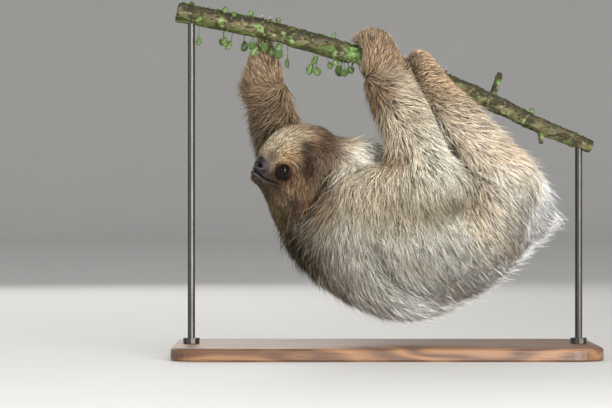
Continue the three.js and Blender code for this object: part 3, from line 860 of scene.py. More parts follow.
# name: forward, out to the side and up in the head's frame, reach in mm, colour, share
HEAD_PATCHES = {
    "crown": (6, 12, 38, 26, (98, 80, 62), 0.9),
    "crown's side": (8, 30, 24, 15, (94, 74, 57), 0.8),
    "crown's rear": (-19, 14, 36, 11, (206, 192, 168), 0.75),
    "forehead": (44, 10, 2, 15, (204, 188, 160), 0.95),
    "forehead's side": (38, 24, 4, 11, (212, 194, 162), 0.8),
    "forehead's streak": (32, 24, 18, 8, (196, 178, 148), 0.7),
    "brow": (33, 32, -9, 8.5, (204, 172, 130), 0.85),
    "brow's front": (44, 18, -13, 6, (150, 130, 110), 0.8),
    "cheek": (10, 38, -20, 13, (180, 146, 110), 0.85),
    "temple's dark patch": (26, 33, 10, 8, (62, 55, 42), 0.95),
    "temple's dark foot": (21, 37, 2, 6.5, (72, 62, 46), 0.85),
    "temple": (12, 39, -4, 15, (78, 60, 45), 0.9),
    "temple's brown": (19, 31, 20, 7, (134, 98, 70), 0.6),
    "jaw's dark patch": (2, 32, -37, 6.5, (58, 48, 38), 0.8),
    "jaw's rust": (-7, 33, -28, 5, (168, 104, 56), 0.6),
    # Painted shade in the cleft behind the cheek
    "neck's cleft painted shade": (-19, 34, -10, 7, (60, 44, 26), 0.8),
    "neck's lower cleft painted shade": (-17, 33, -22, 6.5, (52, 38, 24), 0.8),
    "chin": (24, 6, -43, 13, (84, 72, 48), 0.85),
    "chin's front": (41, 6, -42, 10, (78, 64, 46), 0.95),
    "lower lip's edge": (33, 15, -41, 7, (66, 52, 40), 0.8),
    "throat": (4, 12, -54, 16, (96, 84, 52), 0.85),
    "jaw": (18, 22, -40, 8, (112, 96, 66), 0.7),
    "mouth's corner": (24, 23, -36, 5.5, (74, 56, 48), 0.85),
}
EYE_RUST = (112, 70, 36)
EYE_DARK = (24, 14, 11)
NOSE_DARK = (21, 18, 18)
# Painted highlight on the upper rear of the wet nose pad
NOSE_PAINTED_HIGHLIGHT = (84, 78, 77)
# Painted highlight on the raised rim below each nostril
NOSTRIL_RIM_HIGHLIGHT = (104, 98, 94)
# Painted shade, nearly black, inside the nostrils
NOSTRIL_PAINTED_SHADE = (6, 5, 5)
MUZZLE_DARK = (42, 32, 29)
MUZZLE_HAIR = (76, 62, 54)
LIP_DARK = (21, 15, 15)
LIP_GLINT = (176, 178, 172)


def bare_share(points):
    """1 on the naked nose and lips, 0 where hair grows."""
    f, s, u = in_head(points).T
    low = np.where(u > -26, 1.75, 1.3) * (u + 26)
    behind = np.where(f < 48, 0.86, 1.0) * (f - 48)
    nose = 1 - smooth_step(14.5, 20, np.sqrt(behind**2 + (0.85 * s) ** 2 + low**2))
    height, present = mouth_distance(points)
    lips = mound(height - 0.6, 2.2) * present * smooth_step(20, 27, f)
    return np.clip(nose + lips, 0, 1)


def muzzle_share(points):
    """1 on the dark sides of the muzzle above the mouth's line, which have very short hair."""
    f, s, u = in_head(points).T
    height, present = mouth_distance(points)
    above = (1 - smooth_step(6.5, 12.5, height)) * smooth_step(-5.5, -1.5, height)
    return above * present * smooth_step(17, 26, f)


def eye_distance(points):
    """Distance from the nearer eye's axis, in metres."""
    nearest = np.full(len(points), 1.0)
    for side in SIDES:
        centre, out = eye_frame(side)
        offset = points - centre
        along = offset @ out
        away = np.linalg.norm(offset - np.outer(along, out), axis=1)
        nearest = np.minimum(nearest, np.where(along > -0.008, away, 1.0))
    return nearest


def laid_over(colours, colour, share):
    """Colours with another laid over them."""
    return colours + (np.array(linear(*colour)) - colours) * np.clip(share, 0, 1)[:, None]


def markings(points, groups):
    """The coat's colour at each point, from the shares of the groups there, with painted shade in the folds and
    clefts, painted light on the rump and the back, and painted highlights on the nose and the lower lip.
    """
    colours = groups @ np.array([linear(*GROUND[g]) for g in GROUPS])
    x, y, z = (points / MM).T
    for group, x0, z0, wide, high, colour, share in BODY_PATCHES.values():
        there = np.exp(-(((x - x0) / wide) ** 2) - ((z - z0) / high) ** 2)
        owned = groups[:, GROUPS.index(group)] ** 0.5 if group else (y < -10)
        colours = laid_over(colours, colour, there * share * owned)
    f, s, u = in_head(points).T
    head = groups[:, GROUPS.index("head")] ** 0.5
    for f0, s0, u0, reach, colour, share in HEAD_PATCHES.values():
        away = np.sqrt((f - f0) ** 2 + (np.abs(s) - s0) ** 2 + (u - u0) ** 2)
        colours = laid_over(colours, colour, mound(away, reach) * share * head * 1.25)
    bare = bare_share(points)
    height, present = mouth_distance(points)
    # Painted highlight: a paler grey patch on the upper rear of the wet nose pad, where it catches the light
    rear = mound(f - 41, 5.5) * mound(u + 23, 5) * smooth_step(6, 12, np.abs(s))
    rear = np.maximum(rear, 0.55 * mound(f - 46, 3) * mound(u + 19, 3))
    naked = laid_over(np.tile(linear(*NOSE_DARK), (len(points), 1)), NOSE_PAINTED_HIGHLIGHT, rear * 0.85)
    for side in SIDES.values():
        away = np.hypot(s - side * NOSTRIL["s"], (u - NOSTRIL["u"]) * 1.15)
        # Painted highlight on the raised rim below the nostril
        naked = laid_over(naked, NOSTRIL_RIM_HIGHLIGHT, 0.45 * mound(away - 4.4, 0.9) * (u < NOSTRIL["u"]) * (f > 38))
        # Painted shade, nearly black, in the nostril's pit
        naked = laid_over(naked, NOSTRIL_PAINTED_SHADE, (1 - smooth_step(2.2, 3.8, away)) * (f > 38))
    naked = laid_over(naked, MUZZLE_DARK, (1 - smooth_step(36, 43, f)) * smooth_step(-1, 3, height) * 0.8)
    naked = laid_over(naked, LIP_DARK, mound(height, 3.0) * present)
    naked = laid_over(naked, LIP_GLINT, 0.6 * mound(height + 2.5, 0.9) * present * mound(f - 38, 7))
    colours = laid_over(colours, MUZZLE_HAIR, 0.85 * muzzle_share(points))
    # The eye's dark ring and the rusty hair about it reach lower and farther back than they do above
    eye, (eye_f, _, eye_u) = eye_distance(points) / MM, in_head(eye_frame("left")[0][None])[0]
    lean = np.clip(0.26 * (u - eye_u) + 0.14 * (f - eye_f), -2.5, 3)
    colours = laid_over(colours, EYE_RUST, (1 - smooth_step(8.2, 14.5, eye + lean)) * 0.85)
    colours = laid_over(colours, EYE_DARK, 1 - smooth_step(7.0, 10.6, eye + 0.6 * lean))
    return colours + (naked - colours) * bare[:, None]


# ---------------------------------------------------------------- coat
# Where the hair of each group is combed to: x and z in mm, and the way in degrees, from the branch's thin end upwards
COMBS = {
    "neck": {
        "nape": (-60, 249, -25), "nape's side": (-44, 232, -60), "mane top": (-47, 183, -100),
        "mane": (-56, 163, -118), "mane's curve": (-76, 151, -150), "mane's end": (-92, 146, -165),
        "lower mane": (-55, 128, -95), "throat": (-108, 150, -100), "breast": (-84, 122, -85),
        "behind the ear": (-66, 205, -95),
    },
    "trunk": {
        "shoulder": (-32, 183, -92), "flank's front": (-18, 95, -60), "back's front": (12, 75, -40),
        "back": (37, 60, -28), "side top": (16, 172, -80), "side": (50, 128, -72),
        "side's rear": (82, 139, -62), "back's middle": (60, 84, -50), "back's rear": (104, 95, -45),
        "chest side": (-50, 117, -85), "chest": (-72, 95, -95), "chest's rear": (-38, 67, -58),
        "belly": (38, 216, -80),
    },
    "rump": {
        "hip": (126, 172, -55), "hip's top": (160, 194, -50), "haunch": (148, 139, -35),
        "haunch's foot": (115, 95, -40), "tail": (176, 161, -12), "groin": (104, 194, -60),
    },
    "arm_right": {
        "wrist's edge": (-27, 292, -85), "wrist's middle": (-10, 303, 0), "wrist's lower": (-6, 278, -22),
        "forearm's edge": (-10, 257, -72), "wrist": (11, 293, -8), "forearm": (28, 271, -14),
        "elbow": (44, 249, -45), "arm": (16, 238, -70), "arm's rear": (60, 216, -60), "armpit": (0, 205, -85),
    },
    "paw": {
        "heel": (-12, 315, 50), "hand": (-16, 326, 95), "hand's rear": (11, 337, 60),
        "knuckles": (-33, 343, 120), "foot": (33, 326, 15), "foot's rear": (55, 315, -20),
        "far hand": (-138, 326, 115),
    },
    "arm_left": {
        "far wrist": (-143, 304, -165), "far forearm": (-110, 293, -155), "far elbow": (-112, 262, -140),
        "far arm's edge": (-95, 275, -80), "far wrist's edge": (-108, 308, -60), "far arm": (-126, 265, -165),
        "far shoulder": (-60, 200, -110),
    },
    "leg_right": {
        "ankle": (50, 304, -15), "shank": (71, 271, -18), "knee": (104, 249, -30), "thigh": (126, 216, -45),
        "thigh's front": (93, 205, -55), "thigh's foot": (126, 183, -55),
    },
    "leg_left": {
        "far ankle": (56, 300, -20), "far shank": (78, 262, -25), "far thigh": (120, 200, -50),
    },
}  # fmt: skip
COMB_REACH = 26.0
FAR_COMB = 1e-9  # what a comb counts for out of its reach, so that no hair is left without a way
# On the head: forward, side and up in mm, and the way forward, to the side and up
HEAD_COMBS = {
    "bridge": (46, 0, -12, -0.6, 0.1, 0.8), "bridge's side": (42, 16, -8, -0.5, 0.25, 0.8),
    "forehead": (42, 12, 6, -0.4, 0.2, 0.9), "brow": (34, 31, -9, -0.65, 0.1, 0.7),
    "top": (30, 0, 22, -0.8, 0.1, 0.55),
    "crown": (0, 0, 40, -1, 0.05, -0.1), "crown's side": (12, 28, 28, -0.9, 0.2, -0.1),
    "temple": (25, 34, 8, -0.8, 0.1, 0.4), "behind the eye": (18, 38, -14, -0.6, 0, -0.75),
    "cheek": (8, 38, -22, -0.53, 0, -0.85), "cheek's top": (10, 39, -4, -0.6, 0, -0.75),
    "ear": (-8, 36, 8, -0.6, 0.1, -0.75), "jaw": (20, 24, -40, -0.55, 0.2, -0.8),
    "chin": (34, 8, -42, -0.5, 0.25, -0.8), "throat": (16, 0, -50, -0.5, 0, -0.85),
    "throat's side": (5, 17, -52, -0.45, 0, -0.9), "muzzle": (38, 18, -31, -0.75, 0.55, -0.3),
    "below the eye": (28, 32, -32, -0.75, 0.1, -0.6),
}  # fmt: skip
HEAD_COMB_REACH = 13.0
# In mm: the middle of the whorl at the near wrist and its reach, and the rump's rearmost point and its reach
WHORL, WHORL_REACH = np.array((-22, -36, 307)), 9
REAR, REAR_REACH = np.array((178, 10, 155)), 24
NOSE = np.array((50, 0, -26))  # the nose in the head's own frame, in mm
USUAL_LENGTH = 0.036  # the settings' length of a trunk tuft that the lengths below are for, in m

# Length in mm, breadth against the trunk's, lift at the tip and curl of a tuft, by group
HAIR = {
    "head": (15, 0.72, 0.10, 0.5), "neck": (38, 1.0, 0.12, 1.0), "trunk": (34, 0.95, 0.11, 1.0),
    "rump": (29, 0.95, 0.13, 0.9), "arm_right": (23, 0.80, 0.16, 0.9), "arm_left": (23, 0.88, 0.2, 0.9),
    "leg_right": (26, 0.95, 0.14, 0.8), "leg_left": (25, 0.95, 0.14, 0.8), "paw": (10.5, 0.68, 0.10, 0.4),
}  # fmt: skip

# name of the coat's piece: its group, its side of the middle, x from and to in mm, share of the tufts, rings in a tuft
COAT_PIECES = {
    "coat_face": ("head", 0, -999, 999, 0.128, 2),
    "coat_crown": ("head", 0, -999, 999, 0.066, 2),
    "coat_mane": ("neck", 0, -999, 999, 0.078, 3),
    "coat_shoulder_right": ("trunk", 1, -999, 24, 0.090, 2),
    "coat_flank_right": ("trunk", 1, 24, 999, 0.084, 2),
    "coat_shoulder_left": ("trunk", -1, -999, 24, 0.068, 2),
    "coat_flank_left": ("trunk", -1, 24, 999, 0.066, 2),
    "coat_rump": ("rump", 0, -999, 999, 0.098, 2),
    "coat_arm_right": ("arm_right", 0, -999, 999, 0.086, 2),
    "coat_arm_left": ("arm_left", 0, -999, 999, 0.060, 2),
    "coat_leg_right": ("leg_right", 0, -999, 999, 0.086, 2),
    "coat_leg_left": ("leg_left", 0, -999, 999, 0.052, 2),
    "coat_paws": ("paw", 0, -999, 999, 0.064, 2),
    "coat_wisps": ("", 0, -999, 999, 0.009, 3),
}
# Where long wisps stand out of the coat: x and z in mm, reach and how many against elsewhere
WISPS = (
    (-58, 250, 13, 26), (-36, 240, 12, 20), (-14, 234, 10, 12), (-62, 60, 14, 3), (-35, 42, 22, 3),
    (5, 38, 30, 3), (172, 155, 22, 6), (140, 100, 30, 3), (-110, 130, 20, 3), (120, 225, 30, 3),
)  # fmt: skip
WISP_GROUPS = ("head", "neck", "trunk", "rump", "leg_right")
LOCK_SIZE = 11  # tufts whose tips come together


def comb_share(squared, reach):
    """How much a comb counts at each squared distance from it."""
    return (np.exp(-squared / reach**2) + FAR_COMB * np.exp(-np.sqrt(squared) / 20))[:, None]


def combed_field():
    """The way that the hair lies at each vertex of the skin, along the surface."""
    surface, normals, groups = Skin.surface, Skin.normals, Skin.groups
    field = np.zeros_like(surface.places)
    x, y, z = (surface.places / MM).T
    for group in GROUPS[1:]:
        total = np.zeros_like(field)
        for x0, z0, angle in COMBS[group].values():
            way = np.array((math.cos(math.radians(angle)), 0, math.sin(math.radians(angle))))
            total += comb_share((x - x0) ** 2 + (z - z0) ** 2, COMB_REACH) * way
        field += unit(total) * groups[:, GROUPS.index(group), None]
    f, s, u = in_head(surface.places).T
    total = np.zeros_like(field)
    for f0, s0, u0, df, ds, du in HEAD_COMBS.values():
        for side in SIDES.values():
            squared = (f - f0) ** 2 + (s - side * s0) ** 2 + (u - u0) ** 2
            total += comb_share(squared, HEAD_COMB_REACH) * (np.array((df, side * ds, du)) @ HEAD_AXES)
    field += unit(total) * groups[:, 0, None]
    for _ in range(3):
        field = surface.relaxed(field, 5)
        field = unit(field - normals * np.sum(field * normals, axis=1, keepdims=True))
    return field


def spread_roots(chosen, density, count, rng):
    """Roots spread evenly over the skin's chosen faces: the face and the weights of its three corners."""
    faces = Skin.surface.faces[chosen]
    a, b, c = (Skin.surface.places[faces[:, k]] for k in range(3))
    area = np.linalg.norm(np.cross(b - a, c - a), axis=1) * density[faces].mean(axis=1)
    summed = np.cumsum(area)
    picks = (np.arange(count) + rng.random(count)) / count * summed[-1]
    face = np.searchsorted(summed, picks).clip(0, len(faces) - 1)
    r, q = np.sqrt(rng.random(count)), rng.random(count)
    return chosen[face], np.stack((1 - r, r * (1 - q), r * q), axis=1)


def at_roots(values, faces, weights):
    """Values of the skin's vertices at the roots."""
    return np.einsum("nk,nkj->nj", weights, values[Skin.surface.faces[faces]])


def strand_paths(roots, normals, ways, lengths, depths, lifts, curls, rings, search, field, rng):
    """The middle line of each tuft, which leaves its root, lies along the skin and rises to the coat's depth."""
    count = len(roots)
    path = np.empty((rings + 1, count, 3))
    path[0] = roots - normals * 0.6 * MM
    spot, way = roots.copy(), ways.copy()
    across = np.cross(normals, ways)
    bend = rng.normal(0, 0.34, count) * curls
    stray = rng.random(count) < 0.05
    lift = lifts * rng.gamma(1.6, 0.62, count) + stray * 0.24
    x, y, z = roots.T
    swirl = np.sin(x * 131 + 2 * np.sin(z * 67)) + np.sin(z * 149 + 2 * np.sin(x * 59 + 1)) * np.sin(y * 83)
    way = unit(way + across * ((rng.normal(0, 0.33, count) + 0.16 * swirl) * curls)[:, None])
    for k in range(1, rings + 1):
        t = k / rings
        turned = unit(way + across * (bend * (t - 0.4) + rng.normal(0, 0.12, count) * curls)[:, None])
        spot = spot + turned * (lengths / rings)[:, None]
        nearest = np.array([search.find(Vector(p))[1] for p in spot])
        ground, out = Skin.surface.places[nearest], Skin.normals[nearest]
        height = np.sum((spot - ground) * out, axis=1)
        rise = depths * (0.30 + 0.62 * t) * smooth_step(0, 0.55, t) * (0.75 + 0.45 * rng.random(count))
        wanted = rise + lift * lengths * t * t
        spot = spot + out * np.clip(wanted - height, -0.006, 0.008)[:, None] * 0.9
        path[k] = spot
        flowed = unit(way * 0.45 + field[nearest] * 0.55)
        way = unit(flowed - out * np.sum(flowed * out, axis=1, keepdims=True) * 0.6)
        across = np.cross(out, way)
    return path


def gathered(path, roots, lengths, share, rng):
    """Draws the tips of neighbouring tufts together, as locks."""
    leaders = rng.choice(len(roots), max(len(roots) // LOCK_SIZE, 1), replace=False)
    search = tree_of(roots[leaders])
    lead = np.array([leaders[search.find(Vector(p))[1]] for p in roots])
    near = mound(np.linalg.norm(roots - roots[lead], axis=1), 0.3 * lengths + 1e-6)
    pull = share * near * (0.4 + 0.6 * rng.random(len(roots)))
    path = path.copy()
    for k in range(1, len(path)):
        t = k / (len(path) - 1)
        path[k] += (path[k][lead] - path[k]) * (pull * t**1.3)[:, None] * 0.75
    return path


def strand_mesh(name, path, widths, sides, colours, tones, places):
    """One mesh of many closed, tapered tufts of three sides each, with their colours and their map."""
    rings, count = len(path) - 1, len(path[0])
    each = rings * 3 + 1
    corners = np.empty((count, each, 3))
    shades = np.empty((count, each, 4))
    spread = np.empty((count, each, 2))
    swell = (0.75, 1.0, 0.66) if rings == 3 else (0.8, 0.85)
    for k in range(rings):
        along = unit(path[k + 1] - path[max(k - 1, 0)])
        side = unit(sides - along * np.sum(sides * along, axis=1, keepdims=True))
        up = np.cross(along, side)
        half = widths[:, None] * swell[k] * 0.5
        corners[:, 3 * k] = path[k] - side * half - up * half * 0.45
        corners[:, 3 * k + 1] = path[k] + side * half - up * half * 0.45
        corners[:, 3 * k + 2] = path[k] + up * half * 0.75
        for j in range(3):
            spread[:, 3 * k + j] = ((j - 1) * 0.0014, k / rings * 0.003 - 0.0015)
    corners[:, -1] = path[rings]
    spread[:, -1] = (0, 0.0015)
    for k in range(rings + 1):
        part = slice(3 * k, 3 * k + 3) if k < rings else slice(each - 1, each)
        t = k / rings
        # Each tuft is darker at its root and lighter at its tip: partly the hair's own darker roots and paler tips,
        # partly painted shade deep in the coat.
        shade = (0.30 + 0.95 * t - 0.12 * t * t) * tones
        shades[:, part, :3] = (colours * shade[:, None]).clip(0, 0.95)[:, None]
        shades[:, part, 3] = 1
    quad = [(0, 2, 1)]
    for k in range(rings - 1):
        for j in range(3):
            a, b = 3 * k + j, 3 * k + (j + 1) % 3
            quad += [(a, b, b + 3), (a, b + 3, a + 3)]
    quad += [(3 * rings - 3 + j, 3 * rings - 3 + (j + 1) % 3, 3 * rings) for j in range(3)]
    faces = (np.array(quad)[None] + (np.arange(count) * each)[:, None, None]).reshape(-1)
    data = bpy.data.meshes.new(name)
    data.vertices.add(count * each)
    data.vertices.foreach_set("co", corners.reshape(-1))
    data.loops.add(len(faces))
    data.loops.foreach_set("vertex_index", faces)
    data.polygons.add(len(faces) // 3)
    data.polygons.foreach_set("loop_start", np.arange(len(faces) // 3) * 3)
    data.update()
    mark(data, "marking", shades)
    chart = data.uv_layers.new(name="OFBake")
    flat = (places[:, None] + spread).reshape(-1, 2)
    chart.uv.foreach_set("vector", flat[faces].reshape(-1))
    data.shade_smooth()
    return placed(name, data)


def coat_ground(name):
    """The faces that a piece of the coat grows on, and how thickly it grows at each vertex."""
    group, side, first, last, _, _ = COAT_PIECES[name]
    surface = Skin.surface
    short = face_share(surface.places)
    if group:
        own = Skin.groups.argmax(axis=1) == GROUPS.index(group)
        density = 1 + 1.2 * short * (name == "coat_face")
        density = density * (1 - smooth_step(0.25, 0.6, bare_share(surface.places)))
        density *= smooth_step(7.2 * MM, 8.4 * MM, eye_distance(surface.places))
        density *= 1 + 2.5 * mound(np.linalg.norm(surface.places / MM - WHORL, axis=1), WHORL_REACH)
        if group == "head":
            own &= (short > 0.25) == (name == "coat_face")
    else:
        x, _, z = (surface.places / MM).T
        own = (Skin.groups[:, [GROUPS.index(g) for g in WISP_GROUPS]].sum(axis=1) > 0.6) & (short < 0.02)
        density = 0.35 + sum(many * mound(np.hypot(x - x0, z - z0), reach) for x0, z0, reach, many in WISPS)
    middle = surface.places[surface.faces].mean(axis=1) / MM
    chosen = (own[surface.faces].sum(axis=1) >= 2) & (middle[:, 0] >= first) & (middle[:, 0] < last)
    if side:
        chosen &= (middle[:, 1] < 3) == (side > 0)
    return np.flatnonzero(chosen), density + 1e-9


def tuft_shapes(roots, shares, depths, loose, settings, rng):
    """Length, breadth, lift, curl and depth of each tuft, and which tufts lie over the locks."""
    count = len(roots)
    lengths, breadths, lifts, curls = (shares @ np.array([HAIR[g] for g in GROUPS])).T
    lengths = lengths * MM * settings.length / USUAL_LENGTH
    short = face_share(roots)
    from_nose = np.linalg.norm(in_head(roots) - NOSE, axis=1)
    face_length = (2.4 + 9.6 * smooth_step(18, 54, from_nose)) * MM * (1 - 0.5 * muzzle_share(roots))
    lengths = lengths * (1 - short) + face_length * short
    near_eye = 1 - smooth_step(8.0 * MM, 13 * MM, eye_distance(roots))
    lengths *= (1 - 0.55 * near_eye) * rng.uniform(0.62, 1.28, count)
    folded = fold_share(roots)
    lengths = np.minimum(lengths, room_to_fold(roots) * MM) * (1 - 0.45 * folded)
    lengths *= 1 - 0.62 * mound(np.linalg.norm(roots / MM - REAR, axis=1), REAR_REACH)
    lifts = lifts * (1 - 0.7 * folded) + 0.12 * mound(np.linalg.norm(roots / MM - WHORL, axis=1), WHORL_REACH)
    widths = settings.width * breadths * (1 - 0.52 * short) * rng.uniform(0.6, 1.2, count)
    if loose:
        nape = mound(roots[:, 0] / MM + 38, 30) * smooth_step(222, 236, roots[:, 2] / MM)
        lengths = np.maximum(lengths, 28 * MM) * 1.1
        widths = widths * (0.75 + 0.3 * nape)
        lifts = lifts + 0.34 + 0.6 * nape
    # A fifth of the hairs lie loose over the locks, thinner and less in order
    over = (rng.random(count) < 0.2) & (short < 0.3)
    more = (1.08, 0.6, 1, 1.9, 1.12)
    shapes = [np.where(over, by * v, v) for by, v in zip(more, (lengths, widths, lifts, curls, depths))]
    return *shapes, over


def tuft_tones(roots, shares, over, loose, settings, rng):
    """How light each tuft is against its marking, with painted light on the rump and the nape and painted shade in the
    folds.
    """
    x, y, z = roots.T
    short, folded = face_share(roots), fold_share(roots)
    head, rump = shares[:, GROUPS.index("head")], shares[:, GROUPS.index("rump")]
    broad = np.sin(x * 190 + 1.3) * np.sin(z * 170 + 0.4) * np.sin(y * 150)
    tones = 1 + settings.contrast * (rng.normal(0, 0.75, len(roots)) + 0.30 * broad)
    pale = rng.random(len(roots))
    tones = np.where(pale > 0.78, tones + 0.45, np.where(pale < 0.24, tones * 0.34, tones)).clip(0.12, 1.9)
    tones = np.where(short > 0.3, 1 + 1.25 * (tones - 1), tones).clip(0.12, 1.9)
    tones = np.where(over, np.maximum(tones, 1.15) + 0.2 * rng.random(len(roots)), tones)
    # The rump's tufts lighter for its paler hair and as painted light where it turns away from the lamps; the face's
    # short hair a little lighter
    tones *= 1 + 0.32 * rump + 0.1 * head * (short > 0.3)
    # Painted light on the nape, which lies in shade
    tones *= 1 + 0.4 * mound(np.hypot(x / MM + 44, z / MM - 230), 20) * (head < 0.5)
    if loose:
        return np.maximum(tones, 1.3)
    # Painted shade: tufts darker in the near side's folds and in the cleft behind the cheek
    cleft = mound(x / MM + 65, 6) * mound(z / MM - 194, 15) * (y < 0)
    return tones * (1 - 0.6 * np.maximum(folded, cleft))


def coat_piece(name, settings, field, search):
    """One piece of the coat, with its tufts rooted on its own part of the skin."""
    group, _, _, _, share, rings = COAT_PIECES[name]
    loose = not group
    rng = np.random.default_rng(SEED + list(COAT_PIECES).index(name))
    chosen, density = coat_ground(name)
    faces, weights = spread_roots(chosen, density, round(settings.tufts * share), rng)
    known = (Skin.surface.places, Skin.normals, field, Skin.groups, Skin.depths[:, None])
    roots, normals, ways, shares, depths = (at_roots(values, faces, weights) for values in known)
    normals, ways = unit(normals), unit(ways)
    *shapes, over = tuft_shapes(roots, shares, depths[:, 0], loose, settings, rng)
    lengths, widths, lifts, curls, depths = shapes
    path = strand_paths(roots, normals, ways, lengths, depths, lifts, curls, rings, search, field, rng)
    if not loose:
        pull = {"paw": 0.3}.get(group, 0.5 if "_" in group else 0.7) * (1 - 0.6 * face_share(roots).mean())
        path = np.where(over[None, :, None], path, gathered(path, roots, lengths, pull, rng))
    colours = markings(roots, shares)
    tones = tuft_tones(roots, shares, over, loose, settings, rng)
    colours = colours * (1 + np.outer(rng.normal(0, 0.035, len(roots)), (1, 0.1, -1.2)))
    chart = np.einsum("nk,nkj->nj", weights, Skin.map[Skin.surface.loops[faces]])
    return strand_mesh(name, path, widths, np.cross(normals, ways), colours, tones, chart)


class SLOTH_OT_coat(bpy.types.Operator):
    """Comb the coat over the skin in tufts"""

    bl_idname = "sloth.coat"
    bl_label = "Coat"

    def execute(self, context):
        if Skin.surface is None:
            raise RuntimeError("the coat grows on the skin, so make the skin first")
        field = combed_field()
        search = tree_of(Skin.surface.places)
        finish = coat_finish()
        for name, (group, *_) in COAT_PIECES.items():
            piece = coat_piece(name, context.scene.sloth_coat, field, search)
            piece.data.materials.append(finish)
            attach(piece, BODY)
        return {"FINISHED"}


# ---------------------------------------------------------------- eyes and claws
def eye_finish(colour):
    """A wet dark eye: a black pupil in a deep brown iris, with a darker rim."""
    material, nodes, shader = new_finish("eye", 0.13, Coat_Weight=0.04, Coat_Roughness=0.03, Specular_IOR_Level=0.14)
    turn = nodes.known("from_pupil")
    fibres = nodes.noise(nodes.place(), 900.0, 4.0)
    lit = nodes.mix(nodes.ramp(fibres, 0.3, 0.75), tuple(0.1 * c for c in colour), tuple(0.34 * c for c in colour))
    iris = nodes.mix(nodes.ramp(turn, 0.38, 0.50), (0.0015, 0.0012, 0.001), lit)
    nodes.feed(shader, Base_Color=nodes.mix(nodes.ramp(turn, 0.74, 0.90), iris, (0.006, 0.003, 0.002)))
    return material


def claw_finish():
    """Horn: pale at the root and browner towards the tip, with fine lines along it."""
    material, nodes, shader = new_finish("claw horn", 0.32, Coat_Weight=0.25, Coat_Roughness=0.2)
    horn = nodes.mix(nodes.ramp(nodes.known("along"), 0.1, 0.95), linear(206, 192, 166), linear(120, 98, 72))
    height = mottled(nodes, shader, nodes.place(), horn, 120.0, 900.0, 0.4)
    lines = nodes.noise(nodes.place((1, 6, 1)), 700.0, 2.0)
    bumped(nodes, shader, nodes.math("ADD", lines, height), 0.0002, 0.5)
    return material


class SLOTH_OT_eyes(bpy.types.Operator):
    """Set the eyeballs between the lids"""

    bl_idname = "sloth.eyes"
    bl_label = "Eyes"

    def execute(self, context):
        settings = context.scene.sloth_face
        finish = eye_finish(tuple(settings.iris))
        for side in SIDES:
            centre, out = eye_frame(side)
            ball = bmesh.new()
            bmesh.ops.create_uvsphere(ball, u_segments=48, v_segments=32, radius=settings.eyeball)
            turn = Vector((0, 0, 1)).rotation_difference(Vector(out)).to_matrix().to_4x4()
            turns = [math.acos(max(-1, min(1, v.co.z / settings.eyeball))) for v in ball.verts]
            for v, angle in zip(ball.verts, turns):
                v.co *= 1 + 0.045 * math.exp(-((angle / 0.62) ** 2))
            bmesh.ops.transform(ball, matrix=Matrix.Translation(Vector(centre)) @ turn, verts=ball.verts)
            piece = placed(f"eyeball_{side}", ball)
            mark(piece.data, "from_pupil", turns)
            piece.data.shade_smooth()
            piece.data.materials.append(finish)
            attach(piece, BODY)
            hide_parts(f"eye_{side}")
        return {"FINISHED"}


class SLOTH_OT_claws(bpy.types.Operator):
    """Round off the twelve hooked claws"""

    bl_idname = "sloth.claws"
    bl_label = "Claws"

    def execute(self, context):
        finish = claw_finish()
        for name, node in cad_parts.items():
            if not name.startswith("claw_"):
                continue
            horn = bmesh.new()
            horn.from_mesh(node.data)
            bmesh.ops.remove_doubles(horn, verts=horn.verts, dist=1e-6)
            bmesh.ops.join_triangles(horn, faces=horn.faces, angle_face_threshold=0.7, angle_shape_threshold=1.2)
            bmesh.ops.recalc_face_normals(horn, faces=horn.faces)
            limb = next(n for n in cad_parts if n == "_".join(name.split("_")[1:3]))
            low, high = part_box(limb)
            root = (low + high) / 2
            away = np.array([(v.co - root).length for v in horn.verts])
            along = (away - away.min()) / (away.max() - away.min())
            piece = placed(name.replace("claw_", "horn_"), horn)
            mark(piece.data, "along", along)
            piece.data.shade_smooth()
            round_off = piece.modifiers.new("Round", "SUBSURF")
            round_off.levels = round_off.render_levels = 2
            piece.data.materials.append(finish)
            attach(piece, BODY)
            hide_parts(name)
        return {"FINISHED"}


# ---------------------------------------------------------------- branch
# The branch's middle line: x and z in mm, and its radius there
STATIONS = (
    (-229, 378.6, 11.5), (-135, 360, 11), (-42, 334, 12), (65, 301.5, 11), (104, 285.5, 10.5), (181, 249, 9),
    (228, 230, 8),
)  # fmt: skip
KNOB_X, KNOB_REACH = -34.0, 9.0  # the mossy knob beside the near hand, in mm
STUB_X = 172.0  # the broken stub below the thin end, in mm
BARK_CELL = 1.15 * MM
BARK_ROUNDS = 22  # of evening out before the bark is roughened
MOSS_LUMPS = 420


def branch_at(x):
    """Height of the branch's middle and its radius at x, all in mm."""
    xs, zs, rs = (np.array(column) for column in zip(*STATIONS))
    return np.interp(x, xs, zs), np.interp(x, xs, rs)


def noise_at(points, scale, seed):
    """Smooth noise at each point, from -1 to 1."""
    shift = Vector((seed * 7.31, seed * 3.17, seed * 5.77))
    return np.array([mathutils_noise.noise(Vector(p) * scale + shift) for p in points])


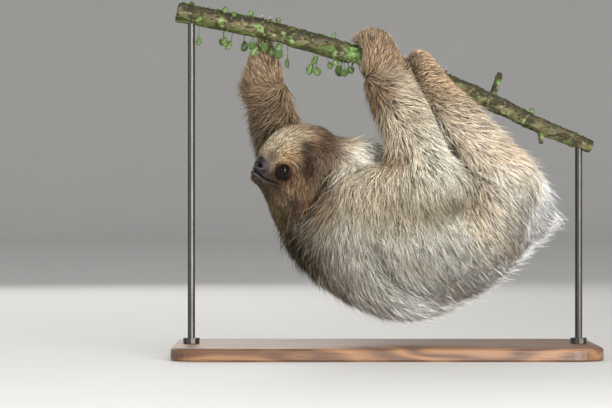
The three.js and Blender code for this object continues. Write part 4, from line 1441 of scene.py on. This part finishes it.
def bark_finish():
    """Grey-brown bark with dark pits, pale lichen and moss where the attribute says, and painted shade where it faces
    down.
    """
    material, nodes, shader = new_finish("bark", 0.86, Specular_IOR_Level=0.25)
    place, drawn = nodes.place(), nodes.place((0.45, 1, 1))
    broad = nodes.noise(drawn, 120.0, 6.0)
    ground = nodes.mix(nodes.ramp(broad, 0.36, 0.66), linear(52, 46, 32), linear(106, 100, 72))
    pits = nodes.cells(drawn, 310.0)
    ground = nodes.mix(nodes.math("SUBTRACT", 1.0, nodes.ramp(pits, 0.12, 0.42)), ground, linear(40, 34, 26))
    spots = nodes.noise(place, 210.0, 3.0)
    pale = nodes.math("MULTIPLY", nodes.ramp(spots, 0.56, 0.64), 0.4)
    ground = nodes.mix(pale, ground, linear(152, 152, 114))
    green = nodes.mix(nodes.ramp(broad, 0.35, 0.7), linear(50, 58, 24), linear(92, 100, 50))
    ground = nodes.mix(nodes.known("moss"), ground, green)
    crust = nodes.mix(nodes.ramp(spots, 0.4, 0.6), linear(86, 116, 54), linear(142, 172, 106))
    ground = nodes.mix(nodes.known("lichen"), ground, crust)
    # Painted shade: the bark darker where it faces down
    ground = nodes.mix(nodes.math("MULTIPLY", nodes.known("under"), 0.8), ground, linear(46, 40, 32))
    height = mottled(nodes, shader, place, ground, 90.0, 800.0, 0.5)
    raised = nodes.math("ADD", nodes.math("MULTIPLY", pits, 1.2), height)
    bumped(nodes, shader, raised, 0.0012, 0.8)
    return material


def moss_finish():
    """Soft moss, in patches of darker and paler green."""
    material, nodes, shader = new_finish("moss", 0.9, Specular_IOR_Level=0.2)
    place = nodes.place()
    broad = nodes.ramp(nodes.noise(place, 60.0, 2.0), 0.4, 0.62)
    green = nodes.mix(broad, linear(52, 62, 28), linear(84, 92, 46))
    bumped(nodes, shader, mottled(nodes, shader, place, green, 300.0, 1200.0, 0.5), 0.0005, 0.5)
    return material


def leaf_finish():
    """Thick green leaves, paler along the middle."""
    material, nodes, shader = new_finish("leaf", 0.42, Specular_IOR_Level=0.45, Subsurface_Weight=0.05)
    shader.inputs["Subsurface Radius"].default_value = (0.004, 0.006, 0.002)
    across = nodes.ramp(nodes.known("across"), 0.0, 0.35)
    green = nodes.mix(across, linear(118, 138, 82), linear(74, 96, 46))
    bumped(nodes, shader, mottled(nodes, shader, nodes.place(), green, 110.0, 700.0, 0.45), 0.0004, 0.4)
    return material


def bark_mesh(settings):
    """The branch's own solid with its doubles merged, evened out and roughened, and a broken stub below."""
    bark = bmesh.new()
    bark.from_mesh(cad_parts["branch"].data)
    bmesh.ops.remove_doubles(bark, verts=bark.verts, dist=1e-6)
    z, radius = branch_at(STUB_X)
    stub = Matrix.Translation(Vector((STUB_X, 0, z - radius - 2)) * MM) @ Matrix.Rotation(math.radians(188), 4, "Y")
    bmesh.ops.create_cone(
        bark, cap_ends=True, segments=10, radius1=4.2 * MM, radius2=3.0 * MM, depth=17 * MM, matrix=stub
    )
    mesh = bpy.data.meshes.new("plain branch")
    bark.to_mesh(mesh)
    bark.free()
    surface = Surface(mesh)
    bpy.data.meshes.remove(mesh)
    solid = openvdb.FloatGrid.createLevelSetFromPolygons(
        surface.places.astype(np.float32), triangles=surface.faces.astype(np.uint32), halfWidth=4,
        transform=openvdb.createLinearTransform(voxelSize=BARK_CELL),
    )  # fmt: skip
    mesh = mesh_of_grid("bark", solid)
    surface = Surface(mesh)
    surface.places = surface.faired(surface.places, BARK_ROUNDS, np.ones(surface.count))
    normals = surface.normals()
    drawn = surface.places * np.array((0.5, 1, 1))
    ridges = 1 - 2 * np.abs(noise_at(drawn, 170, 1))
    lumps = noise_at(surface.places, 45, 2)
    grain = noise_at(drawn, 420, 3)
    x, y, z = (surface.places / MM).T
    middle, radius = branch_at(x)
    at_knob = mound(x - KNOB_X, KNOB_REACH)
    knob = at_knob * (z > middle - 30)
    push = settings.ridges * (0.8 * ridges + 0.5 * grain) + 1.3 * MM * lumps + knob * (1.6 + 0.9 * grain) * MM
    surface.places = surface.places + normals * push[:, None]
    up = normals[:, 2]
    patches = noise_at(surface.places, 60, 5)
    moss = smooth_step(0.15, 0.75, up + 0.7 * patches) * (0.85 - 0.45 * smooth_step(40, 120, x))
    moss = np.maximum(moss, 0.5 * smooth_step(0.2, 0.5, patches) * smooth_step(-0.4, 0.3, up))
    flecks = smooth_step(0.3, 0.5, noise_at(surface.places, 130, 6)) * smooth_step(-1, 0.2, up)
    mesh.vertices.foreach_set("co", surface.places.ravel())
    # under is painted shade on the branch's underside, by how far it faces down, kept off the knob
    mark(mesh, "under", smooth_step(0.0, 0.85, -up) * (1 - at_knob))
    mark(mesh, "moss", moss)
    mark(mesh, "lichen", np.maximum(at_knob, 0.55 * flecks))
    mesh.update()
    mesh.shade_smooth()
    return mesh


def moss_mesh(rng):
    """Cushions of moss: many small rounded lumps along the top of the branch."""
    moss = bmesh.new()
    for _ in range(MOSS_LUMPS):
        x = rng.choice((rng.uniform(-226, -62), rng.uniform(-60, 20), rng.uniform(70, 222)), p=(0.66, 0.14, 0.20))
        turn = math.radians(rng.normal(88, 34))
        z, radius = branch_at(x)
        size = rng.uniform(0.6, 1.7) * MM
        place = Vector((x, -radius * math.cos(turn), z + radius * math.sin(turn))) * MM
        stretch = Matrix.Diagonal((rng.uniform(0.9, 1.8), 1, rng.uniform(0.6, 1.1), 1))
        bmesh.ops.create_icosphere(moss, subdivisions=1, radius=size, matrix=Matrix.Translation(place) @ stretch)
    return moss


def leaf_mesh(count, rng):
    """Small oval leaves on short stalks: the bmesh and how far each corner lies from its leaf's middle line."""
    leaves = bmesh.new()
    across = []
    for k in range(count):
        low = k % 5 != 0
        x = rng.uniform(-224, -34) if k % 12 else rng.uniform(60, 200)
        z, radius = branch_at(x)
        turn = math.radians(rng.uniform(-150, -35) if low else rng.uniform(40, 120))
        root = Vector((x, -radius * 0.93 * math.cos(turn), z + radius * 0.93 * math.sin(turn)))
        stalk = rng.uniform(3, 15) if low else rng.uniform(1, 3)
        hang = Vector((rng.normal(0, 0.25), -0.35 * math.cos(turn), -1 if low else 0.6)).normalized()
        tip = root + hang * stalk
        long, wide = rng.uniform(6.5, 11.5), rng.uniform(3.2, 5.0)
        if not low:
            long, wide = long * 0.7, wide * 0.8
        way = (hang + Vector((rng.normal(0, 0.35), rng.normal(0, 0.3), 0))).normalized()
        side = way.cross(Vector((rng.normal(0, 0.5), -1, rng.normal(0, 0.3)))).normalized()
        face = side.cross(way).normalized()
        made = bmesh.ops.create_grid(leaves, x_segments=4, y_segments=5, size=1)["verts"]
        for v in made:
            a, b = v.co.x, (v.co.y + 1) / 2
            half = math.sin(math.pi * min(max(b * 0.94 + 0.03, 0), 1)) ** 0.62
            off = side * (a * half * wide) + way * (b * long) + face * (a * a * wide * 0.30 - b * b * long * 0.10)
            v.co = (tip + off) * MM
            across.append(abs(a))
        bmesh.ops.solidify(leaves, geom=[f for f in leaves.faces if f.verts[0] in made], thickness=0.9 * MM)
        leaves.verts.ensure_lookup_table()
        across += [0.8] * (len(leaves.verts) - len(across))
        thin = bmesh.ops.create_cone(
            leaves, cap_ends=True, segments=5, radius1=0.55 * MM, radius2=0.4 * MM, depth=(stalk + 2.4) * MM,
            matrix=Matrix.Translation((root - hang * 0.7 + tip) / 2 * MM)
            @ Vector((0, 0, 1)).rotation_difference(hang).to_matrix().to_4x4(),
        )["verts"]  # fmt: skip
        across += [0.3] * len(thin)
    bmesh.ops.recalc_face_normals(leaves, faces=leaves.faces)
    return leaves, across


class SLOTH_OT_branch(bpy.types.Operator):
    """Roughen the branch, and grow the moss and the hanging leaves on it"""

    bl_idname = "sloth.branch"
    bl_label = "Branch"

    def execute(self, context):
        settings = context.scene.sloth_branch
        rng = np.random.default_rng(SEED + 50)
        bark = placed("bark", bark_mesh(settings))
        bark.data.materials.append(bark_finish())
        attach(bark, BODY)
        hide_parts("branch")
        moss = placed("moss", moss_mesh(rng))
        moss.data.shade_smooth()
        moss.data.materials.append(moss_finish())
        leaves, across = leaf_mesh(settings.leaves, rng)
        leaf = placed("leaves", leaves)
        mark(leaf.data, "across", across)
        leaf.data.shade_smooth()
        leaf.data.materials.append(leaf_finish())
        for piece in (moss, leaf):
            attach(piece, BODY)
        return {"FINISHED"}


# ---------------------------------------------------------------- stand
def wood_finish():
    """Oiled wood: long rings cut along the board, pores and a soft gloss."""
    material, nodes, shader = new_finish("oiled wood", 0.42, Coat_Weight=0.12, Coat_Roughness=0.35)
    warp = nodes.noise(nodes.place((1.0, 2.6, 5)), 2.2, 3.0)
    rings = nodes.math("FRACT", nodes.math("MULTIPLY", warp, 15.0))
    bands = nodes.math("ABSOLUTE", nodes.math("SUBTRACT", rings, 0.5))
    brown = nodes.mix(nodes.ramp(bands, 0.05, 0.5), linear(92, 62, 42), linear(136, 98, 66))
    pores = nodes.noise(nodes.place((6, 150, 150)), 5.0, 3.0)
    brown = nodes.mix(nodes.ramp(pores, 0.58, 0.72), brown, linear(70, 46, 31))
    mottled(nodes, shader, nodes.place((1, 4, 4)), brown, 9.0, 70.0, 0.22)
    bumped(nodes, shader, nodes.math("SUBTRACT", nodes.math("MULTIPLY", bands, 0.5), pores), 0.0003, 0.5)
    nodes.feed(shader, Roughness=nodes.math("ADD", 0.34, nodes.math("MULTIPLY", pores, 0.25)))
    return material


def metal_finish():
    """Blackened steel with fine marks from the brush along the rod."""
    material, nodes, shader = new_finish("blackened steel", 0.4, Metallic=0.9)
    lines = nodes.noise(nodes.place((60, 60, 1)), 30.0, 4.0)
    height = mottled(nodes, shader, nodes.place(), (*linear(74, 72, 70), 1), 35.0, 500.0, 0.25)
    nodes.feed(shader, Roughness=nodes.math("ADD", 0.28, nodes.math("MULTIPLY", lines, 0.3)))
    bumped(nodes, shader, nodes.math("ADD", lines, height), 0.0002, 0.25)
    return material


class SLOTH_OT_stand(bpy.types.Operator):
    """Finish the stand's board and rods"""

    bl_idname = "sloth.stand"
    bl_label = "Stand"

    def execute(self, context):
        finishes = {"stand_base": wood_finish(), "stand_rod": metal_finish()}
        for name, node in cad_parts.items():
            for start, finish in finishes.items():
                if name.startswith(start):
                    for slot in node.material_slots:
                        slot.material = finish
        return {"FINISHED"}


# ---------------------------------------------------------------- stage
# The floor and its backdrop, in m: near edge, half breadth, where the bend begins, its radius, and the top
NEAR_EDGE, HALF_BREADTH, BEND_AT, BEND, BACKDROP_TOP = -6.0, 9.0, 9.6, 1.6, 7.0
BEND_STEPS = 12


def area_light(name, place, aim, size, watts, colour):
    """A soft square lamp that looks at a point."""
    data = bpy.data.lights.new(name, "AREA")
    data.size = size
    data.energy = watts
    data.color = colour
    lamp = bpy.data.objects.new(name, data)
    bpy.context.collection.objects.link(lamp)
    lamp.location = place
    lamp.rotation_euler = (Vector(aim) - Vector(place)).to_track_quat("-Z", "Y").to_euler()


def cove():
    """The floor and the backdrop as one sheet, which turns up in a wide bend behind."""
    sheet = bmesh.new()
    before = (NEAR_EDGE, 0.0)
    strip = [sheet.edges.new([sheet.verts.new((x, *before)) for x in (-HALF_BREADTH, HALF_BREADTH)])]
    turns = [math.radians(90 / BEND_STEPS * k) for k in range(BEND_STEPS + 1)]
    path = [(BEND_AT + BEND * math.sin(turn), BEND - BEND * math.cos(turn)) for turn in turns]
    for y, z in (*path, (BEND_AT + BEND, BACKDROP_TOP)):
        grown = bmesh.ops.extrude_edge_only(sheet, edges=strip)["geom"]
        verts = [g for g in grown if isinstance(g, bmesh.types.BMVert)]
        bmesh.ops.translate(sheet, verts=verts, vec=(0, y - before[0], z - before[1]))
        strip = [g for g in grown if isinstance(g, bmesh.types.BMEdge)]
        before = (y, z)
    bmesh.ops.recalc_face_normals(sheet, faces=sheet.faces)
    return sheet


class SLOTH_OT_stage(bpy.types.Operator):
    """Make the floor, the lamps and the camera"""

    bl_idname = "sloth.stage"
    bl_label = "Stage"

    def execute(self, context):
        settings = context.scene.sloth_stage
        floor = placed("floor", cove())
        for face in floor.data.polygons:
            face.use_smooth = True
        floor.data.materials.append(floor_finish(settings.floor))

        aim = (-0.02, 0, 0.21)
        area_light("key", (1.1, -2.1, 2.3), aim, 1.5, 47, (1.0, 0.975, 0.94))
        area_light("fill", (-2.2, -2.2, 1.1), aim, 1.8, 34, (0.93, 0.96, 1.0))
        area_light("low", (0.85, -1.85, 0.05), (0.09, 0.0, 0.13), 0.9, 86, (1.0, 0.99, 0.97))
        area_light("back", (-0.7, 2.3, 1.3), aim, 1.7, 20, (1.0, 0.98, 0.94))
        world = bpy.data.worlds.new("room")
        world.use_nodes = True
        world.node_tree.nodes["Background"].inputs["Color"].default_value = (0.90, 0.90, 0.89, 1)
        world.node_tree.nodes["Background"].inputs["Strength"].default_value = 0.58
        context.scene.world = world

        data = bpy.data.cameras.new("view")
        data.sensor_width = 36
        data.lens = settings.lens
        data.clip_end = 40
        camera = bpy.data.objects.new("view", data)
        context.collection.objects.link(camera)
        camera.location = (-0.0869, -settings.distance, 0.1676)
        camera.rotation_euler = (math.radians(90), 0, 0)
        context.scene.camera = camera
        context.scene.view_settings.view_transform = "Standard"
        return {"FINISHED"}


# ---------------------------------------------------------------- panel and run
class SLOTH_PT_panel(bpy.types.Panel):
    """The sloth's settings and operators"""

    bl_idname = "SLOTH_PT_panel"
    bl_label = "Three-toed sloth"
    bl_space_type = "VIEW_3D"
    bl_region_type = "UI"
    bl_category = "Sloth"

    def draw(self, context):
        for name in ("coat", "face", "branch", "stage"):
            settings = getattr(context.scene, "sloth_" + name)
            box = self.layout.box()
            for key in settings.bl_rna.properties.keys():
                if key not in ("rna_type", "name"):
                    box.prop(settings, key)
        for operator in OPERATORS:
            self.layout.operator(operator.bl_idname)


SETTINGS = {"coat": CoatSettings, "face": FaceSettings, "branch": BranchSettings, "stage": StageSettings}
OPERATORS = (
    SLOTH_OT_stage,
    SLOTH_OT_skin,
    SLOTH_OT_coat,
    SLOTH_OT_eyes,
    SLOTH_OT_claws,
    SLOTH_OT_branch,
    SLOTH_OT_stand,
)


def register():
    for known in (*SETTINGS.values(), *OPERATORS, SLOTH_PT_panel):
        bpy.utils.register_class(known)
    for name, known in SETTINGS.items():
        setattr(bpy.types.Scene, "sloth_" + name, PointerProperty(type=known))


def unregister():
    for name in SETTINGS:
        delattr(bpy.types.Scene, "sloth_" + name)
    for known in reversed((*SETTINGS.values(), *OPERATORS, SLOTH_PT_panel)):
        bpy.utils.unregister_class(known)


def main():
    register()
    for operator in OPERATORS:
        module, name = operator.bl_idname.split(".")
        getattr(getattr(bpy.ops, module), name)()


if __name__ == "__main__":
    main()
